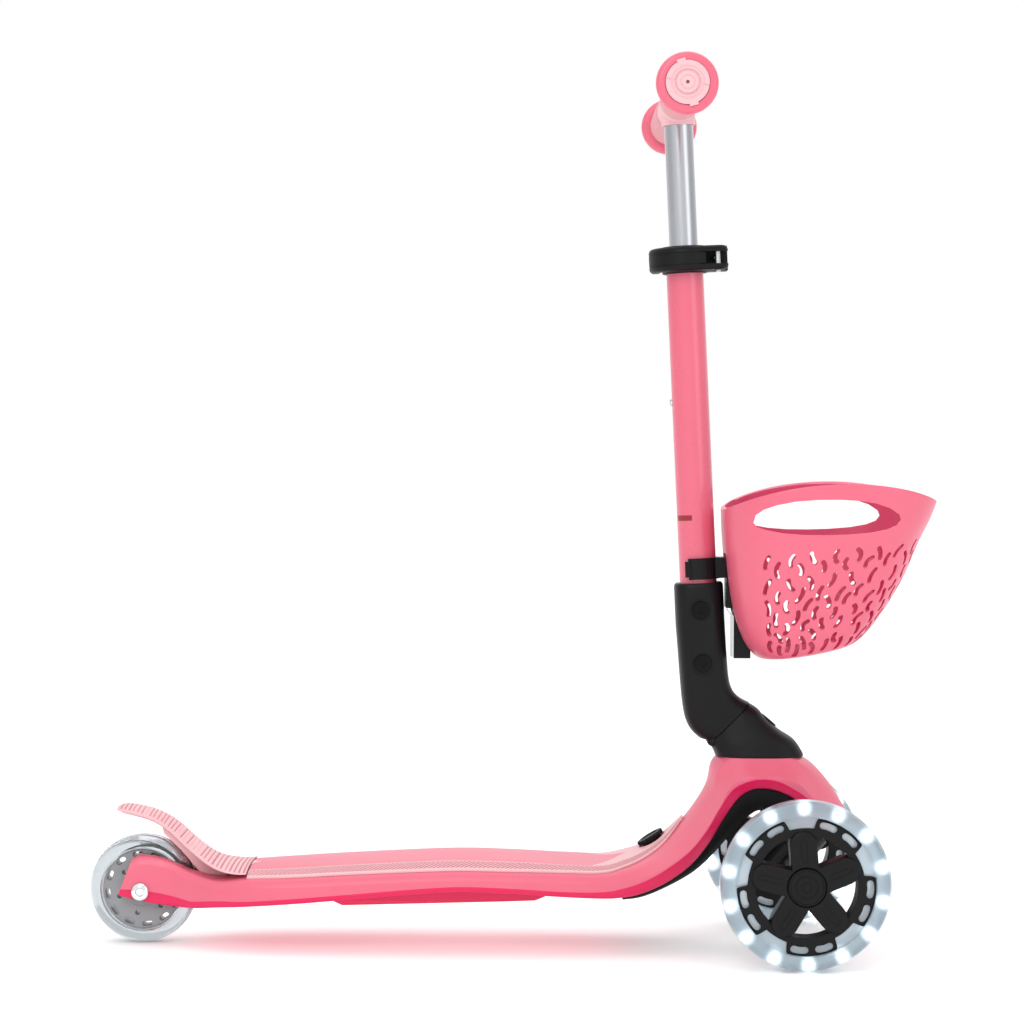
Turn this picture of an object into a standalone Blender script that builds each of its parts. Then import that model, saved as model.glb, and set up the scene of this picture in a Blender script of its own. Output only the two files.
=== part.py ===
"""Three-wheeled kick scooter for small children, with a folding column and a basket.

Metres, +Z up, +X towards the front wheels, +Y to the rider's left. The origin is on the
ground, in the middle of the overall length. Every outline is worked out from the driving
sizes below, and each moving piece hangs on an empty that stands on its joint's axis.
"""
import math

import bmesh
import bpy
from mathutils import Matrix, Vector

# ---------------------------------------------------------------- driving sizes
GAP = 0.0003                    # between two pieces that touch
RUN = 0.0001                    # radial clearance of a running fit

WHEELBASE = 0.481
REAR_AXLE_X = -0.271
FRONT_AXLE_X = REAR_AXLE_X + WHEELBASE

REAR_WHEEL_RADIUS = 0.040
REAR_WHEEL_WIDTH = 0.024
REAR_CORE_RADIUS = 0.0295       # where the clear tyre starts
REAR_AXLE_RADIUS = 0.004

FRONT_WHEEL_RADIUS = 0.0605
FRONT_WHEEL_WIDTH = 0.0246
FRONT_TRACK = 0.200             # between the middles of the front wheels
FRONT_CORE_RADIUS = 0.0487
FRONT_RING_OUTER = 0.0412
FRONT_RING_INNER = 0.0352
FRONT_HUB_RADIUS = 0.0135
FRONT_AXLE_RADIUS = 0.004
BEARING_RADIUS = 0.0085
BEARING_WIDTH = 0.006
SPOKES = 5

FORK_WALL = 0.0085              # thickness of one rear fork arm
FORK_SIDE_GAP = 0.002           # between the rear wheel and a fork arm
DECK_HALF_WIDTH = 0.056
DECK_EDGE_HEIGHT = 0.0600       # top edge of the deck body above the ground
PAD_THICKNESS = 0.0026
PANEL_DEPTH = 0.0090            # how far the underside panel stands below the deck's sides
LOCK_BUTTON_RADIUS = 0.0105
LOCK_BUTTON_TRAVEL = 0.0025

COLUMN_TILT = math.radians(2.8)
COLUMN_FOOT_AHEAD = -0.0652     # column axis behind the front axle, at the foot's height
COLUMN_FOOT_UP = 0.0915         # foot above the front axle
OUTER_TUBE_RADIUS = 0.01365
OUTER_TUBE_WALL = 0.0016
INNER_TUBE_RADIUS = 0.0106
INNER_TUBE_WALL = 0.0015
SLEEVE_HALF_WIDTH = 0.0183
SLEEVE_TOP = 0.1170             # along the column from the foot, as are the next ones
OUTER_TUBE_BOTTOM = 0.0450
OUTER_TUBE_TOP = 0.3595
INNER_TUBE_BOTTOM = 0.1640
CLIP_BOTTOM = 0.1195
CLIP_HEIGHT = 0.0155
SPRING_BUTTON_UP = 0.2503
CLAMP_HEIGHT = 0.0200
CLAMP_MIDDLE = 0.3545
BAR_UP = 0.4677                 # handlebar axis above the foot
HEIGHT_STEP = 0.050             # from one height setting to the next
BOLT_RADIUS = 0.003
BOLT_HEAD_RADIUS = 0.0062
SLEEVE_BOLTS_UP = (0.0581, 0.0971)

BAR_HALF_WIDTH = 0.1415
BAR_RADIUS = 0.0135
GRIP_RADIUS = 0.0148
BUMPER_RADIUS = 0.0217
BUMPER_WIDTH = 0.0125
PLUG_RADIUS = 0.0152

BASKET_LENGTH = 0.1560
BASKET_HALF_WIDTH = 0.0730
BASKET_WALL = 0.0030
BASKET_REAR_AHEAD = -0.0540     # rearmost point of the rim, ahead of the front axle
BASKET_FLOOR_UP = 0.1520        # underside of the lowest point above the front axle
BASKET_RIM_UP = 0.2620          # rim at its rear above the front axle
BRACKET_HALF_WIDTH = 0.0140

# ---------------------------------------------------------------- places that follow
REAR_AXLE = Vector((REAR_AXLE_X, 0, REAR_WHEEL_RADIUS))
FRONT_AXLE = Vector((FRONT_AXLE_X, 0, FRONT_WHEEL_RADIUS))
SLOT_HALF = REAR_WHEEL_WIDTH / 2 + FORK_SIDE_GAP
FORK_HALF = SLOT_HALF + FORK_WALL
FOLD_PIVOT = FRONT_AXLE + Vector((-0.0607, 0, 0.0919))
JOINT_SLOPE = math.radians(44.5)
COLUMN_FOOT = FRONT_AXLE + Vector((COLUMN_FOOT_AHEAD, 0, COLUMN_FOOT_UP))
BRAKE_PIVOT = REAR_AXLE + Vector((0.058, 0, 0.0065))
TRUCK_SLOPE = math.radians(50)
TRUCK_PIVOT = FRONT_AXLE + Vector((-0.010, 0, 0))
NECK_TOP = FRONT_AXLE.z + 0.0808

MATERIALS = {
    "coral_plastic": ((0.93, 0.20, 0.27), 0.42, 0.0),
    "crimson_plastic": ((0.80, 0.03, 0.14), 0.40, 0.0),
    "blush_plastic": ((0.93, 0.58, 0.60), 0.50, 0.0),
    "black_plastic": ((0.022, 0.022, 0.026), 0.45, 0.0),
    "clear_urethane": ((0.82, 0.88, 0.92), 0.15, 0.0),
    "grey_plastic": ((0.33, 0.34, 0.36), 0.40, 0.0),
    "coral_paint": ((0.92, 0.19, 0.26), 0.28, 0.2),
    "silver_alloy": ((0.80, 0.80, 0.82), 0.25, 1.0),
    "steel": ((0.62, 0.62, 0.64), 0.30, 1.0),
    "rubber": ((0.03, 0.03, 0.03), 0.85, 0.0),
}


# ---------------------------------------------------------------- scene and materials
def clear_scene():
    for item in list(bpy.data.objects):
        bpy.data.objects.remove(item, do_unlink=True)


def new_collection(name):
    collection = bpy.data.collections.new(name)
    bpy.context.scene.collection.children.link(collection)
    return collection


def make_material(name):
    colour, roughness, metallic = MATERIALS[name]
    material = bpy.data.materials.get(name) or bpy.data.materials.new(name)
    material.use_nodes = True
    shader = material.node_tree.nodes["Principled BSDF"]
    shader.inputs["Base Color"].default_value = (*colour, 1)
    shader.inputs["Roughness"].default_value = roughness
    shader.inputs["Metallic"].default_value = metallic
    material.diffuse_color = (*colour, 1)
    return material


clear_scene()
SCOOTER = new_collection("kick_scooter")
CUTTERS = new_collection("cutters")


def empty(name, place, parent=None, turn=(0, 0, 0)):
    """An axis or a frame that other pieces hang on."""
    item = bpy.data.objects.new(name, None)
    item.empty_display_size = 0.02
    item.location = place
    item.rotation_euler = turn
    item.parent = parent
    SCOOTER.objects.link(item)
    return item


def add(name, mesh, material, parent=None, place=(0, 0, 0), turn=(0, 0, 0), smooth=32):
    item = bpy.data.objects.new(name, mesh)
    item.location = place
    item.rotation_euler = turn
    item.parent = parent
    if material is None:
        item.hide_render = True
        item.display_type = "WIRE"
        CUTTERS.objects.link(item)
        return item
    mesh.shade_smooth()
    mesh.set_sharp_from_angle(angle=math.radians(smooth))
    if not mesh.materials:
        mesh.materials.append(make_material(material))
    SCOOTER.objects.link(item)
    return item


# ---------------------------------------------------------------- shapes
def mesh_from(bm, name):
    mesh = bpy.data.meshes.new(name)
    bm.to_mesh(mesh)
    bm.free()
    return mesh


def box_mesh(name, low, high):
    bm = bmesh.new()
    low, high = Vector(low), Vector(high)
    bmesh.ops.create_cube(bm, size=1)
    bmesh.ops.scale(bm, vec=high - low, verts=bm.verts)
    bmesh.ops.translate(bm, vec=(low + high) / 2, verts=bm.verts)
    return mesh_from(bm, name)


def rod_mesh(name, radius, start, end, segments=24, end_radius=None):
    """A solid round bar from one point to another."""
    bm = bmesh.new()
    start, end = Vector(start), Vector(end)
    along = end - start
    turn = along.to_track_quat("Z", "Y").to_matrix().to_4x4()
    bmesh.ops.create_cone(bm, cap_ends=True, segments=segments, radius1=radius,
                          radius2=end_radius or radius, depth=along.length,
                          matrix=Matrix.Translation((start + end) / 2) @ turn)
    return mesh_from(bm, name)


def turned_mesh(name, profile, segments=48):
    """A closed ring about Y. The profile runs down its outer side, as (radius, along) pairs."""
    mesh = bpy.data.meshes.new(name)
    edges = [(i, (i + 1) % len(profile)) for i in range(len(profile))]
    mesh.from_pydata([(r, 0, h) for r, h in profile], edges, [])
    item = bpy.data.objects.new(name, mesh)
    CUTTERS.objects.link(item)
    screw = item.modifiers.new("turn", "SCREW")
    screw.steps = segments
    screw.render_steps = segments
    screw.use_merge_vertices = True
    screw.merge_threshold = 0.00001
    solid = baked(item)
    solid.transform(Matrix.Rotation(math.radians(-90), 4, "X"))
    return solid


def baked(item):
    """The mesh of an object with its modifiers, or of a curve with its caps welded."""
    graph = bpy.context.evaluated_depsgraph_get()
    mesh = bpy.data.meshes.new_from_object(item.evaluated_get(graph))
    mesh.name = item.name
    bm = bmesh.new()
    bm.from_mesh(mesh)
    bmesh.ops.remove_doubles(bm, verts=bm.verts, dist=0.000005)
    bmesh.ops.recalc_face_normals(bm, faces=bm.faces)
    bm.to_mesh(mesh)
    bm.free()
    bpy.data.objects.remove(item, do_unlink=True)
    return mesh


def outline_mesh(name, points, thickness):
    """A flat outline in X and Y, extruded evenly to both sides along Z."""
    curve = bpy.data.curves.new(name, "CURVE")
    curve.dimensions = "2D"
    curve.fill_mode = "BOTH"
    curve.extrude = thickness / 2
    spline = curve.splines.new("POLY")
    spline.points.add(len(points) - 1)
    for point, (x, y) in zip(spline.points, points):
        point.co = (x, y, 0, 1)
    spline.use_cyclic_u = True
    item = bpy.data.objects.new(name, curve)
    CUTTERS.objects.link(item)
    return baked(item)


def side_outline_mesh(name, points, half_width):
    """An outline in X and Z, extruded to both sides along Y."""
    mesh = outline_mesh(name, points, 2 * half_width)
    mesh.transform(Matrix.Rotation(math.radians(90), 4, "X"))
    return mesh


def loft_mesh(name, rings):
    """Skin over closed rings of equal count, with both ends capped."""
    bm = bmesh.new()
    rows = [[bm.verts.new(point) for point in ring] for ring in rings]
    count = len(rows[0])
    for first, second in zip(rows, rows[1:]):
        for i in range(count):
            j = (i + 1) % count
            bm.faces.new((first[i], first[j], second[j]))
            bm.faces.new((first[i], second[j], second[i]))
    bm.faces.new(rows[0][::-1])
    bm.faces.new(rows[-1])
    bmesh.ops.recalc_face_normals(bm, faces=bm.faces)
    return mesh_from(bm, name)


def bevel(item, width, segments=2, angle=40):
    modifier = item.modifiers.new("bevel", "BEVEL")
    modifier.width = width
    modifier.segments = segments
    modifier.limit_method = "ANGLE"
    modifier.angle_limit = math.radians(angle)
    return item


def combine(item, other, operation):
    modifier = item.modifiers.new(operation.lower(), "BOOLEAN")
    modifier.operation = operation
    modifier.solver = "EXACT"
    modifier.object = other
    return item


def cut(item, *meshes):
    for number, mesh in enumerate(meshes):
        tool = add(f"{item.name}_cut_{mesh.name}_{number}", mesh, None, item.parent)
        tool.location = item.location
        tool.rotation_euler = item.rotation_euler
        combine(item, tool, "DIFFERENCE")
    return item


def join(item, *meshes):
    for number, mesh in enumerate(meshes):
        tool = add(f"{item.name}_join_{mesh.name}_{number}", mesh, None, item.parent)
        tool.location = item.location
        tool.rotation_euler = item.rotation_euler
        combine(item, tool, "UNION")
    return item


def arc(centre, radius, start, end, count):
    """Points on a circle from one angle to another, in degrees."""
    steps = (math.radians(start + (end - start) * i / (count - 1)) for i in range(count))
    return [(centre[0] + radius * math.cos(a), centre[1] + radius * math.sin(a)) for a in steps]


def superellipse(count, half_x, half_y, power):
    """Unit ring of points of a rounded rectangle, counter-clockwise from +X."""
    points = []
    for i in range(count):
        angle = 2 * math.pi * i / count
        c, s = math.cos(angle), math.sin(angle)
        size = (abs(c) ** power + abs(s) ** power) ** (-1 / power)
        points.append((half_x * c * size, half_y * s * size))
    return points


def between(stations, parts):
    """Catmull-Rom steps between rows of numbers, so that a few stations give a smooth form."""
    rows = []
    last = len(stations) - 1
    for i in range(last):
        p0, p1 = stations[max(i - 1, 0)], stations[i]
        p2, p3 = stations[i + 1], stations[min(i + 2, last)]
        for k in range(parts):
            t = k / parts
            rows.append(tuple(
                0.5 * (2 * b + (c - a) * t + (2 * a - 5 * b + 4 * c - d) * t * t
                       + (3 * b - a - 3 * c + d) * t ** 3)
                for a, b, c, d in zip(p0, p1, p2, p3)))
    rows.append(tuple(stations[-1]))
    return rows


# ---------------------------------------------------------------- deck body and nose
def deck_stations():
    """Sections from the fork's ends to the tip of the nose.

    Each has the top and bottom points of its centre line, half-widths of its top and of its
    widest line, crown, shoulder depth and curve, height and inset of the lower chamfer, and
    the share of its top that the tread pad covers.
    """
    rx, rz = REAR_AXLE.x, REAR_AXLE.z
    fx, fz = FRONT_AXLE.x, FRONT_AXLE.z
    edge, wide, fork = DECK_EDGE_HEIGHT, DECK_HALF_WIDTH, FORK_HALF
    middle = (rx + fx) / 2
    return [
        (rx - 0.006, rz + 0.0245, rx - 0.0165, rz - 0.0030, fork - 0.004, fork,
         0.001, 0.004, 0.6, 0.003, 0.001, 0),
        (rx + 0.002, rz + 0.0270, rx - 0.0010, rz - 0.0070, fork - 0.004, fork,
         0.001, 0.006, 0.6, 0.003, 0.001, 0),
        (rx + 0.019, rz + 0.0240, rx + 0.0210, rz - 0.0105, fork - 0.003, fork,
         0.001, 0.006, 0.6, 0.003, 0.001, 0),
        (rx + 0.039, rz + 0.0155, rx + 0.0390, rz - 0.0110, fork + 0.004, fork + 0.008,
         0.001, 0.006, 0.6, 0.003, 0.001, 0),
        (rx + 0.059, rz + 0.0115, rx + 0.0590, rz - 0.0085, wide - 0.019, wide - 0.013,
         0.001, 0.006, 0.6, 0.003, 0.001, 0.9),
        (rx + 0.081, edge - 0.0035, rx + 0.081, edge - 0.0265, wide - 0.011, wide - 0.005,
         0.003, 0.006, 0.5, 0.003, 0.002, 1),
        (rx + 0.116, edge - 0.0010, rx + 0.116, edge - 0.0235, wide - 0.0065, wide - 0.0005,
         0.0038, 0.006, 0.5, 0.003, 0.002, 1),
        (rx + 0.156, edge + 0.0018, rx + 0.156, edge - 0.0200, wide - 0.006, wide,
         0.0042, 0.006, 0.5, 0.003, 0.002, 1),
        (middle - 0.014, edge + 0.0056, middle - 0.014, edge - 0.0142, wide - 0.006, wide,
         0.0048, 0.006, 0.5, 0.003, 0.002, 1),
        (middle + 0.030, edge + 0.0048, middle + 0.030, edge - 0.0148, wide - 0.006, wide,
         0.0042, 0.006, 0.5, 0.003, 0.002, 1),
        (fx - 0.170, edge + 0.0018, fx - 0.170, edge - 0.0170, wide - 0.006, wide,
         0.0020, 0.006, 0.5, 0.003, 0.002, 0.98),
        (fx - 0.142, edge + 0.0012, fx - 0.142, edge - 0.0180, wide - 0.007, wide - 0.0005,
         0.0020, 0.006, 0.5, 0.004, 0.002, 0.95),
        (fx - 0.126, fz + 0.0045, fx - 0.127, fz - 0.0180, wide - 0.0095, wide - 0.002,
         0.003, 0.007, 0.6, 0.006, 0.003, 0.88),
        (fx - 0.110, fz + 0.0110, fx - 0.112, fz - 0.0150, wide - 0.014, wide - 0.004,
         0.005, 0.009, 0.7, 0.009, 0.004, 0.74),
        (fx - 0.095, fz + 0.0205, fx - 0.094, fz - 0.0072, wide - 0.020, wide - 0.006,
         0.007, 0.009, 0.8, 0.0105, 0.006, 0.53),
        (fx - 0.0815, fz + 0.0335, fx - 0.077, fz + 0.0050, wide - 0.026, wide - 0.009,
         0.008, 0.010, 0.9, 0.010, 0.006, 0.14),
        (fx - 0.0715, fz + 0.0470, fx - 0.064, fz + 0.0205, wide - 0.029, wide - 0.012,
         0.008, 0.009, 1.0, 0.009, 0.006, 0),
        (fx - 0.0642, fz + 0.0605, fx - 0.053, fz + 0.0385, wide - 0.031, wide - 0.014,
         0.007, 0.009, 1.1, 0.008, 0.006, 0),
        (fx - 0.0597, fz + 0.0775, fx - 0.043, fz + 0.0525, wide - 0.032, wide - 0.015,
         0.006, 0.013, 1.2, 0.008, 0.005, 0),
        (fx - 0.045, fz + 0.0865, fx - 0.034, fz + 0.0585, wide - 0.031, wide - 0.0155,
         0.004, 0.016, 1.2, 0.007, 0.005, 0),
        (fx - 0.026, fz + 0.0875, fx - 0.026, fz + 0.0598, wide - 0.031, wide - 0.016,
         0.004, 0.016, 1.2, 0.007, 0.005, 0),
        (fx - 0.007, fz + 0.0855, fx - 0.016, fz + 0.0585, wide - 0.031, wide - 0.0165,
         0.004, 0.015, 1.2, 0.007, 0.005, 0),
        (fx + 0.009, fz + 0.0785, fx - 0.006, fz + 0.0545, wide - 0.033, wide - 0.017,
         0.005, 0.012, 1.1, 0.006, 0.005, 0),
        (fx + 0.020, fz + 0.0685, fx + 0.003, fz + 0.0485, wide - 0.034, wide - 0.018,
         0.006, 0.011, 1.0, 0.006, 0.005, 0),
        (fx + 0.030, fz + 0.0555, fx + 0.012, fz + 0.0405, wide - 0.035, wide - 0.020,
         0.006, 0.009, 0.9, 0.005, 0.005, 0),
        (fx + 0.038, fz + 0.0415, fx + 0.022, fz + 0.0305, wide - 0.037, wide - 0.024,
         0.005, 0.008, 0.8, 0.004, 0.004, 0),
        (fx + 0.044, fz + 0.0265, fx + 0.032, fz + 0.0195, wide - 0.043, wide - 0.034,
         0.004, 0.005, 0.7, 0.003, 0.003, 0),
    ]


TOP_SHARES = (0.0, 0.35, 0.7, 0.9, 1.0)
SHOULDER_STEPS = (0.25, 0.6, 1.0)
STATION_PARTS = 1
DECK_ROWS = between(deck_stations(), STATION_PARTS)


def station_point(row, y, rise):
    """A point of a section, from its distance off centre and its height over the bottom."""
    top, low = Vector((row[0], 0, row[1])), Vector((row[2], 0, row[3]))
    return low + (top - low).normalized() * rise + Vector((0, y, 0))


def station_height(row):
    return math.hypot(row[0] - row[2], row[1] - row[3])


def top_rise(row, y):
    """Height of the section's top at a distance from the middle, on its straight facets."""
    share = min(abs(y) / row[4], 1)
    for low, high in zip(TOP_SHARES, TOP_SHARES[1:]):
        if share <= high:
            part = (share - low) / (high - low)
            bend = low ** 2 + (high ** 2 - low ** 2) * part
            return station_height(row) - row[6] * bend
    return station_height(row) - row[6]


def deck_ring(row, lift=0):
    """Closed ring of one section: crowned top, shoulder, side, lower chamfer, flat bottom."""
    top_half, widest, crown, shoulder, curve, chamfer, inset = row[4:11]
    half = [(top_half * share, top_rise(row, top_half * share) + lift)
            for share in TOP_SHARES]
    edge = station_height(row) - crown
    for t in SHOULDER_STEPS:
        half.append((top_half + (widest - top_half) * t ** curve, edge - shoulder * t))
    half += [(widest, chamfer), (widest - inset, 0.0006), (widest - inset - 0.002, 0), (0, 0)]
    left = [station_point(row, y, rise) for y, rise in half]
    right = [station_point(row, -y, rise) for y, rise in half[-2:0:-1]]
    return left + right


def wheel_slot_meshes():
    """Room for the rear wheel between the fork arms, and for the brake's lug ahead of it."""
    front = BRAKE_PIVOT.x + 0.0078
    floor = BRAKE_PIVOT.z - 0.0062
    low, high = (REAR_AXLE.x - 0.05, -SLOT_HALF), (front, SLOT_HALF)
    wheel = rod_mesh("wheel_room", REAR_WHEEL_RADIUS + 0.003, REAR_AXLE - Vector((0, SLOT_HALF, 0)),
                     REAR_AXLE + Vector((0, SLOT_HALF, 0)), 40)
    lug = box_mesh("lug_room", (*low, floor), (*high, floor + 0.05))
    rear = box_mesh("rear_room", (*low, -0.01), (REAR_AXLE.x, SLOT_HALF, 0.09))
    return wheel, lug, rear


POCKET_REAR = REAR_AXLE.x + 0.141
POCKET_FRONT = FRONT_AXLE.x - 0.178
POCKET_HALF = DECK_HALF_WIDTH - 0.018
POCKET_ROOF = DECK_EDGE_HEIGHT - 0.004
PLATE_THICKNESS = 0.004
LOCK_PLACE = FRONT_AXLE + Vector((-0.1035, 0, 0.0160))
LOCK_SLOPE = math.radians(32)
LOCK_UP = Vector((-math.sin(LOCK_SLOPE), 0, math.cos(LOCK_SLOPE)))


def make_deck():
    shell = add("deck_shell", loft_mesh("deck", [deck_ring(row) for row in DECK_ROWS]),
                "coral_plastic")
    nose_cut = box_mesh("top_plane", (FRONT_AXLE.x - 0.075, -0.05, NECK_TOP),
                        (FRONT_AXLE.x + 0.03, 0.05, NECK_TOP + 0.03))
    pocket = box_mesh("pocket", (POCKET_REAR, -POCKET_HALF, DECK_EDGE_HEIGHT - 0.05),
                      (POCKET_FRONT, POCKET_HALF, POCKET_ROOF))
    axle = rod_mesh("axle_bore", REAR_AXLE_RADIUS + RUN, REAR_AXLE - Vector((0, 0.04, 0)),
                    REAR_AXLE + Vector((0, 0.04, 0)), 20)
    pin = rod_mesh("brake_bore", BRAKE_PIN_RADIUS + GAP,
                   BRAKE_PIVOT - Vector((0, BRAKE_PIN_HALF + GAP, 0)),
                   BRAKE_PIVOT + Vector((0, BRAKE_PIN_HALF + GAP, 0)), 16)
    lock = rod_mesh("lock_bore", LOCK_BUTTON_RADIUS - 0.0025, LOCK_PLACE - LOCK_UP * 0.010,
                    LOCK_PLACE + LOCK_UP * 0.020, 24)
    cut(shell, nose_cut, *wheel_slot_meshes(), pocket, axle, pin, lock)


def make_tread():
    """Pad that follows the deck's top and ends as a tongue on the rise."""
    rings = []
    first, last = 5 * STATION_PARTS, 15 * STATION_PARTS
    for row in DECK_ROWS[first:last + 1]:
        half = row[4] * row[11]
        spots = [half * share for share in (-1, -0.85, -0.5, 0, 0.5, 0.85, 1)]
        under = [station_point(row, y, top_rise(row, y) - 0.003) for y in spots]
        over = []
        for y in reversed(spots):
            fill = 1 - 0.6 * (abs(y) / half) ** 3
            over.append(station_point(row, y, top_rise(row, y) + GAP + PAD_THICKNESS * fill))
        rings.append(under + over)
    pad = add("deck_tread", loft_mesh("tread", rings), "blush_plastic")
    well = rod_mesh("lock_well", LOCK_BUTTON_RADIUS + 0.0006, LOCK_PLACE - LOCK_UP * 0.02,
                    LOCK_PLACE + LOCK_UP * 0.02, 32)
    body = loft_mesh("deck_room", [deck_ring(row, GAP)
                                   for row in DECK_ROWS[first - 1:last + 2]])
    cut(pad, body, well)


def make_lock_button():
    """Push button with a scalloped rim that locks the lean steering."""
    rim = []
    for i in range(27):
        angle = 2 * math.pi * i / 27
        radius = LOCK_BUTTON_RADIUS - 0.0006 + 0.0006 * math.cos(9 * angle)
        rim.append((radius * math.cos(angle), radius * math.sin(angle)))
    head = outline_mesh("head", rim, 0.0030)
    head.transform(Matrix.Translation((0, 0, 0.0048 + LOCK_BUTTON_TRAVEL - 0.0015)))
    button = add("steering_lock_button", head, "black_plastic", None, LOCK_PLACE,
                 (0, -LOCK_SLOPE, 0))
    stem = rod_mesh("stem", LOCK_BUTTON_RADIUS - 0.0031, (0, 0, -0.0060), (0, 0, 0.0050), 24)
    join(button, stem)


def make_underside():
    """Reinforcement plate in the deck's pocket and the panel that closes it."""
    slack = 0.0005
    top = POCKET_ROOF - GAP
    plate = add("deck_reinforcement", box_mesh(
        "plate", (POCKET_REAR + slack, -POCKET_HALF + slack, top - PLATE_THICKNESS),
        (POCKET_FRONT - slack, POCKET_HALF - slack, top)), "steel")
    roof = top - PLATE_THICKNESS - GAP
    rear_low = DECK_EDGE_HEIGHT - 0.0185 - PANEL_DEPTH
    front_low = DECK_EDGE_HEIGHT - 0.0130 - PANEL_DEPTH
    outline = [(POCKET_REAR + slack, roof), (POCKET_REAR + slack, rear_low + 0.005),
               (POCKET_REAR + slack + 0.008, rear_low), (POCKET_FRONT - slack - 0.012, front_low),
               (POCKET_FRONT - slack, front_low + 0.005), (POCKET_FRONT - slack, roof)]
    panel = add("underside_panel", side_outline_mesh("panel", outline, POCKET_HALF - slack),
                "crimson_plastic")
    trims = []
    for side in (-1, 1):
        trim = box_mesh("trim", (POCKET_REAR - 0.01, -0.010, -0.02), (POCKET_FRONT + 0.01, 0.010, 0.0))
        trim.transform(Matrix.Rotation(math.radians(side * 35), 4, "X"))
        trim.transform(Matrix.Translation((0, side * (POCKET_HALF - 0.002), rear_low + 0.0035)))
        trims.append(trim)
    cut(panel, *trims)
    head_low = front_low + 0.0022
    y = 0
    for x, place in ((POCKET_REAR + 0.025, "rear"), (POCKET_FRONT - 0.025, "front")):
        cut(panel, rod_mesh("head_room", 0.0036, (x, y, 0.01), (x, y, head_low + 0.0025), 16),
            rod_mesh("shank_room", 0.0018, (x, y, 0.02), (x, y, roof + 0.01), 12))
        cut(plate, rod_mesh("shank_room", 0.0018, (x, y, 0.02), (x, y, roof + 0.02), 12))
        screw = add(f"panel_screw_{place}", rod_mesh("head", 0.0032, (x, y, head_low - 0.0012),
                                                      (x, y, head_low + 0.0022), 16), "steel")
        join(screw, rod_mesh("shank", 0.0015, (x, y, head_low), (x, y, top - 0.0005), 12))


def undercover_rings():
    """Black layer under the nose, from the rise to the tip, inside the pink edges."""
    depths = [  # depth under the nose and how far the bottom leans ahead
        (0.0020, 0.0), (0.0030, 0.001), (0.0035, 0.002), (0.0055, 0.004), (0.0080, 0.006),
        (0.0110, 0.010), (0.0150, 0.012), (0.0190, 0.010), (0.0210, 0.006), (0.0215, 0.002),
        (0.0200, -0.002), (0.0170, -0.004), (0.0130, -0.004), (0.0080, -0.003)]
    rings = []
    rows = DECK_ROWS[12 * STATION_PARTS:]
    for row, (drop, ahead) in zip(rows, between(depths, STATION_PARTS)):
        up = Vector((row[0] - row[2], 0, row[1] - row[3])).normalized()
        along = Vector((up.z, 0, -up.x))
        roof = Vector((row[2], 0, row[3])) - up * 2 * GAP
        floor = roof - up * drop + along * ahead * 0.4
        half = row[5] - row[10] - 0.003
        rings.append([roof + Vector((0, -half, 0)), roof + Vector((0, half, 0)),
                      floor + (roof - floor) * 0.4 + Vector((0, half, 0)),
                      floor + Vector((0, half - 0.004, 0)), floor + Vector((0, -half + 0.004, 0)),
                      floor + (roof - floor) * 0.4 + Vector((0, -half, 0))])
    return rings


TRUCK_UP = Vector((math.cos(TRUCK_SLOPE), 0, math.sin(TRUCK_SLOPE)))
TRUCK_BOSS_TOP = 0.0150
BUSH_TOP = 0.0225
SOCKET_TOP = 0.0350
KINGPIN_RADIUS = 0.004
BRAKE_PIN_RADIUS = 0.002
BRAKE_PIN_HALF = SLOT_HALF + 0.008


def on_truck_axis(rise):
    return TRUCK_PIVOT + TRUCK_UP * rise


def make_undercover():
    cover = add("nose_undercover", loft_mesh("cover", undercover_rings()), "black_plastic")
    join(cover, rod_mesh("socket", 0.0160, on_truck_axis(BUSH_TOP + GAP),
                         on_truck_axis(SOCKET_TOP), 32))
    cut(cover, rod_mesh("kingpin_bore", KINGPIN_RADIUS + RUN, on_truck_axis(0),
                        on_truck_axis(SOCKET_TOP - 0.0025), 20))


# ---------------------------------------------------------------- folding joint
def tilted_ring(rear, front, half_width, power, count=20):
    """Rounded section between a rear and a front point, as wide as given across."""
    middle, along = (rear + front) / 2, (front - rear) / 2
    return [middle + along * (x) + Vector((0, y, 0))
            for x, y in superellipse(count, 1, half_width, power)]


JOINT_NORMAL = Vector((-math.sin(JOINT_SLOPE), 0, math.cos(JOINT_SLOPE)))
KNUCKLE_RADIUS = 0.0037
KNUCKLE_HALF = 0.0055
HINGE_HALF = 0.0125
FOLD_PIN_RADIUS = 0.0016


def hinge_rod(name, radius, start, end, segments=20):
    return rod_mesh(name, radius, FOLD_PIVOT + Vector((0, start, 0)),
                    FOLD_PIVOT + Vector((0, end, 0)), segments)


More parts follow.
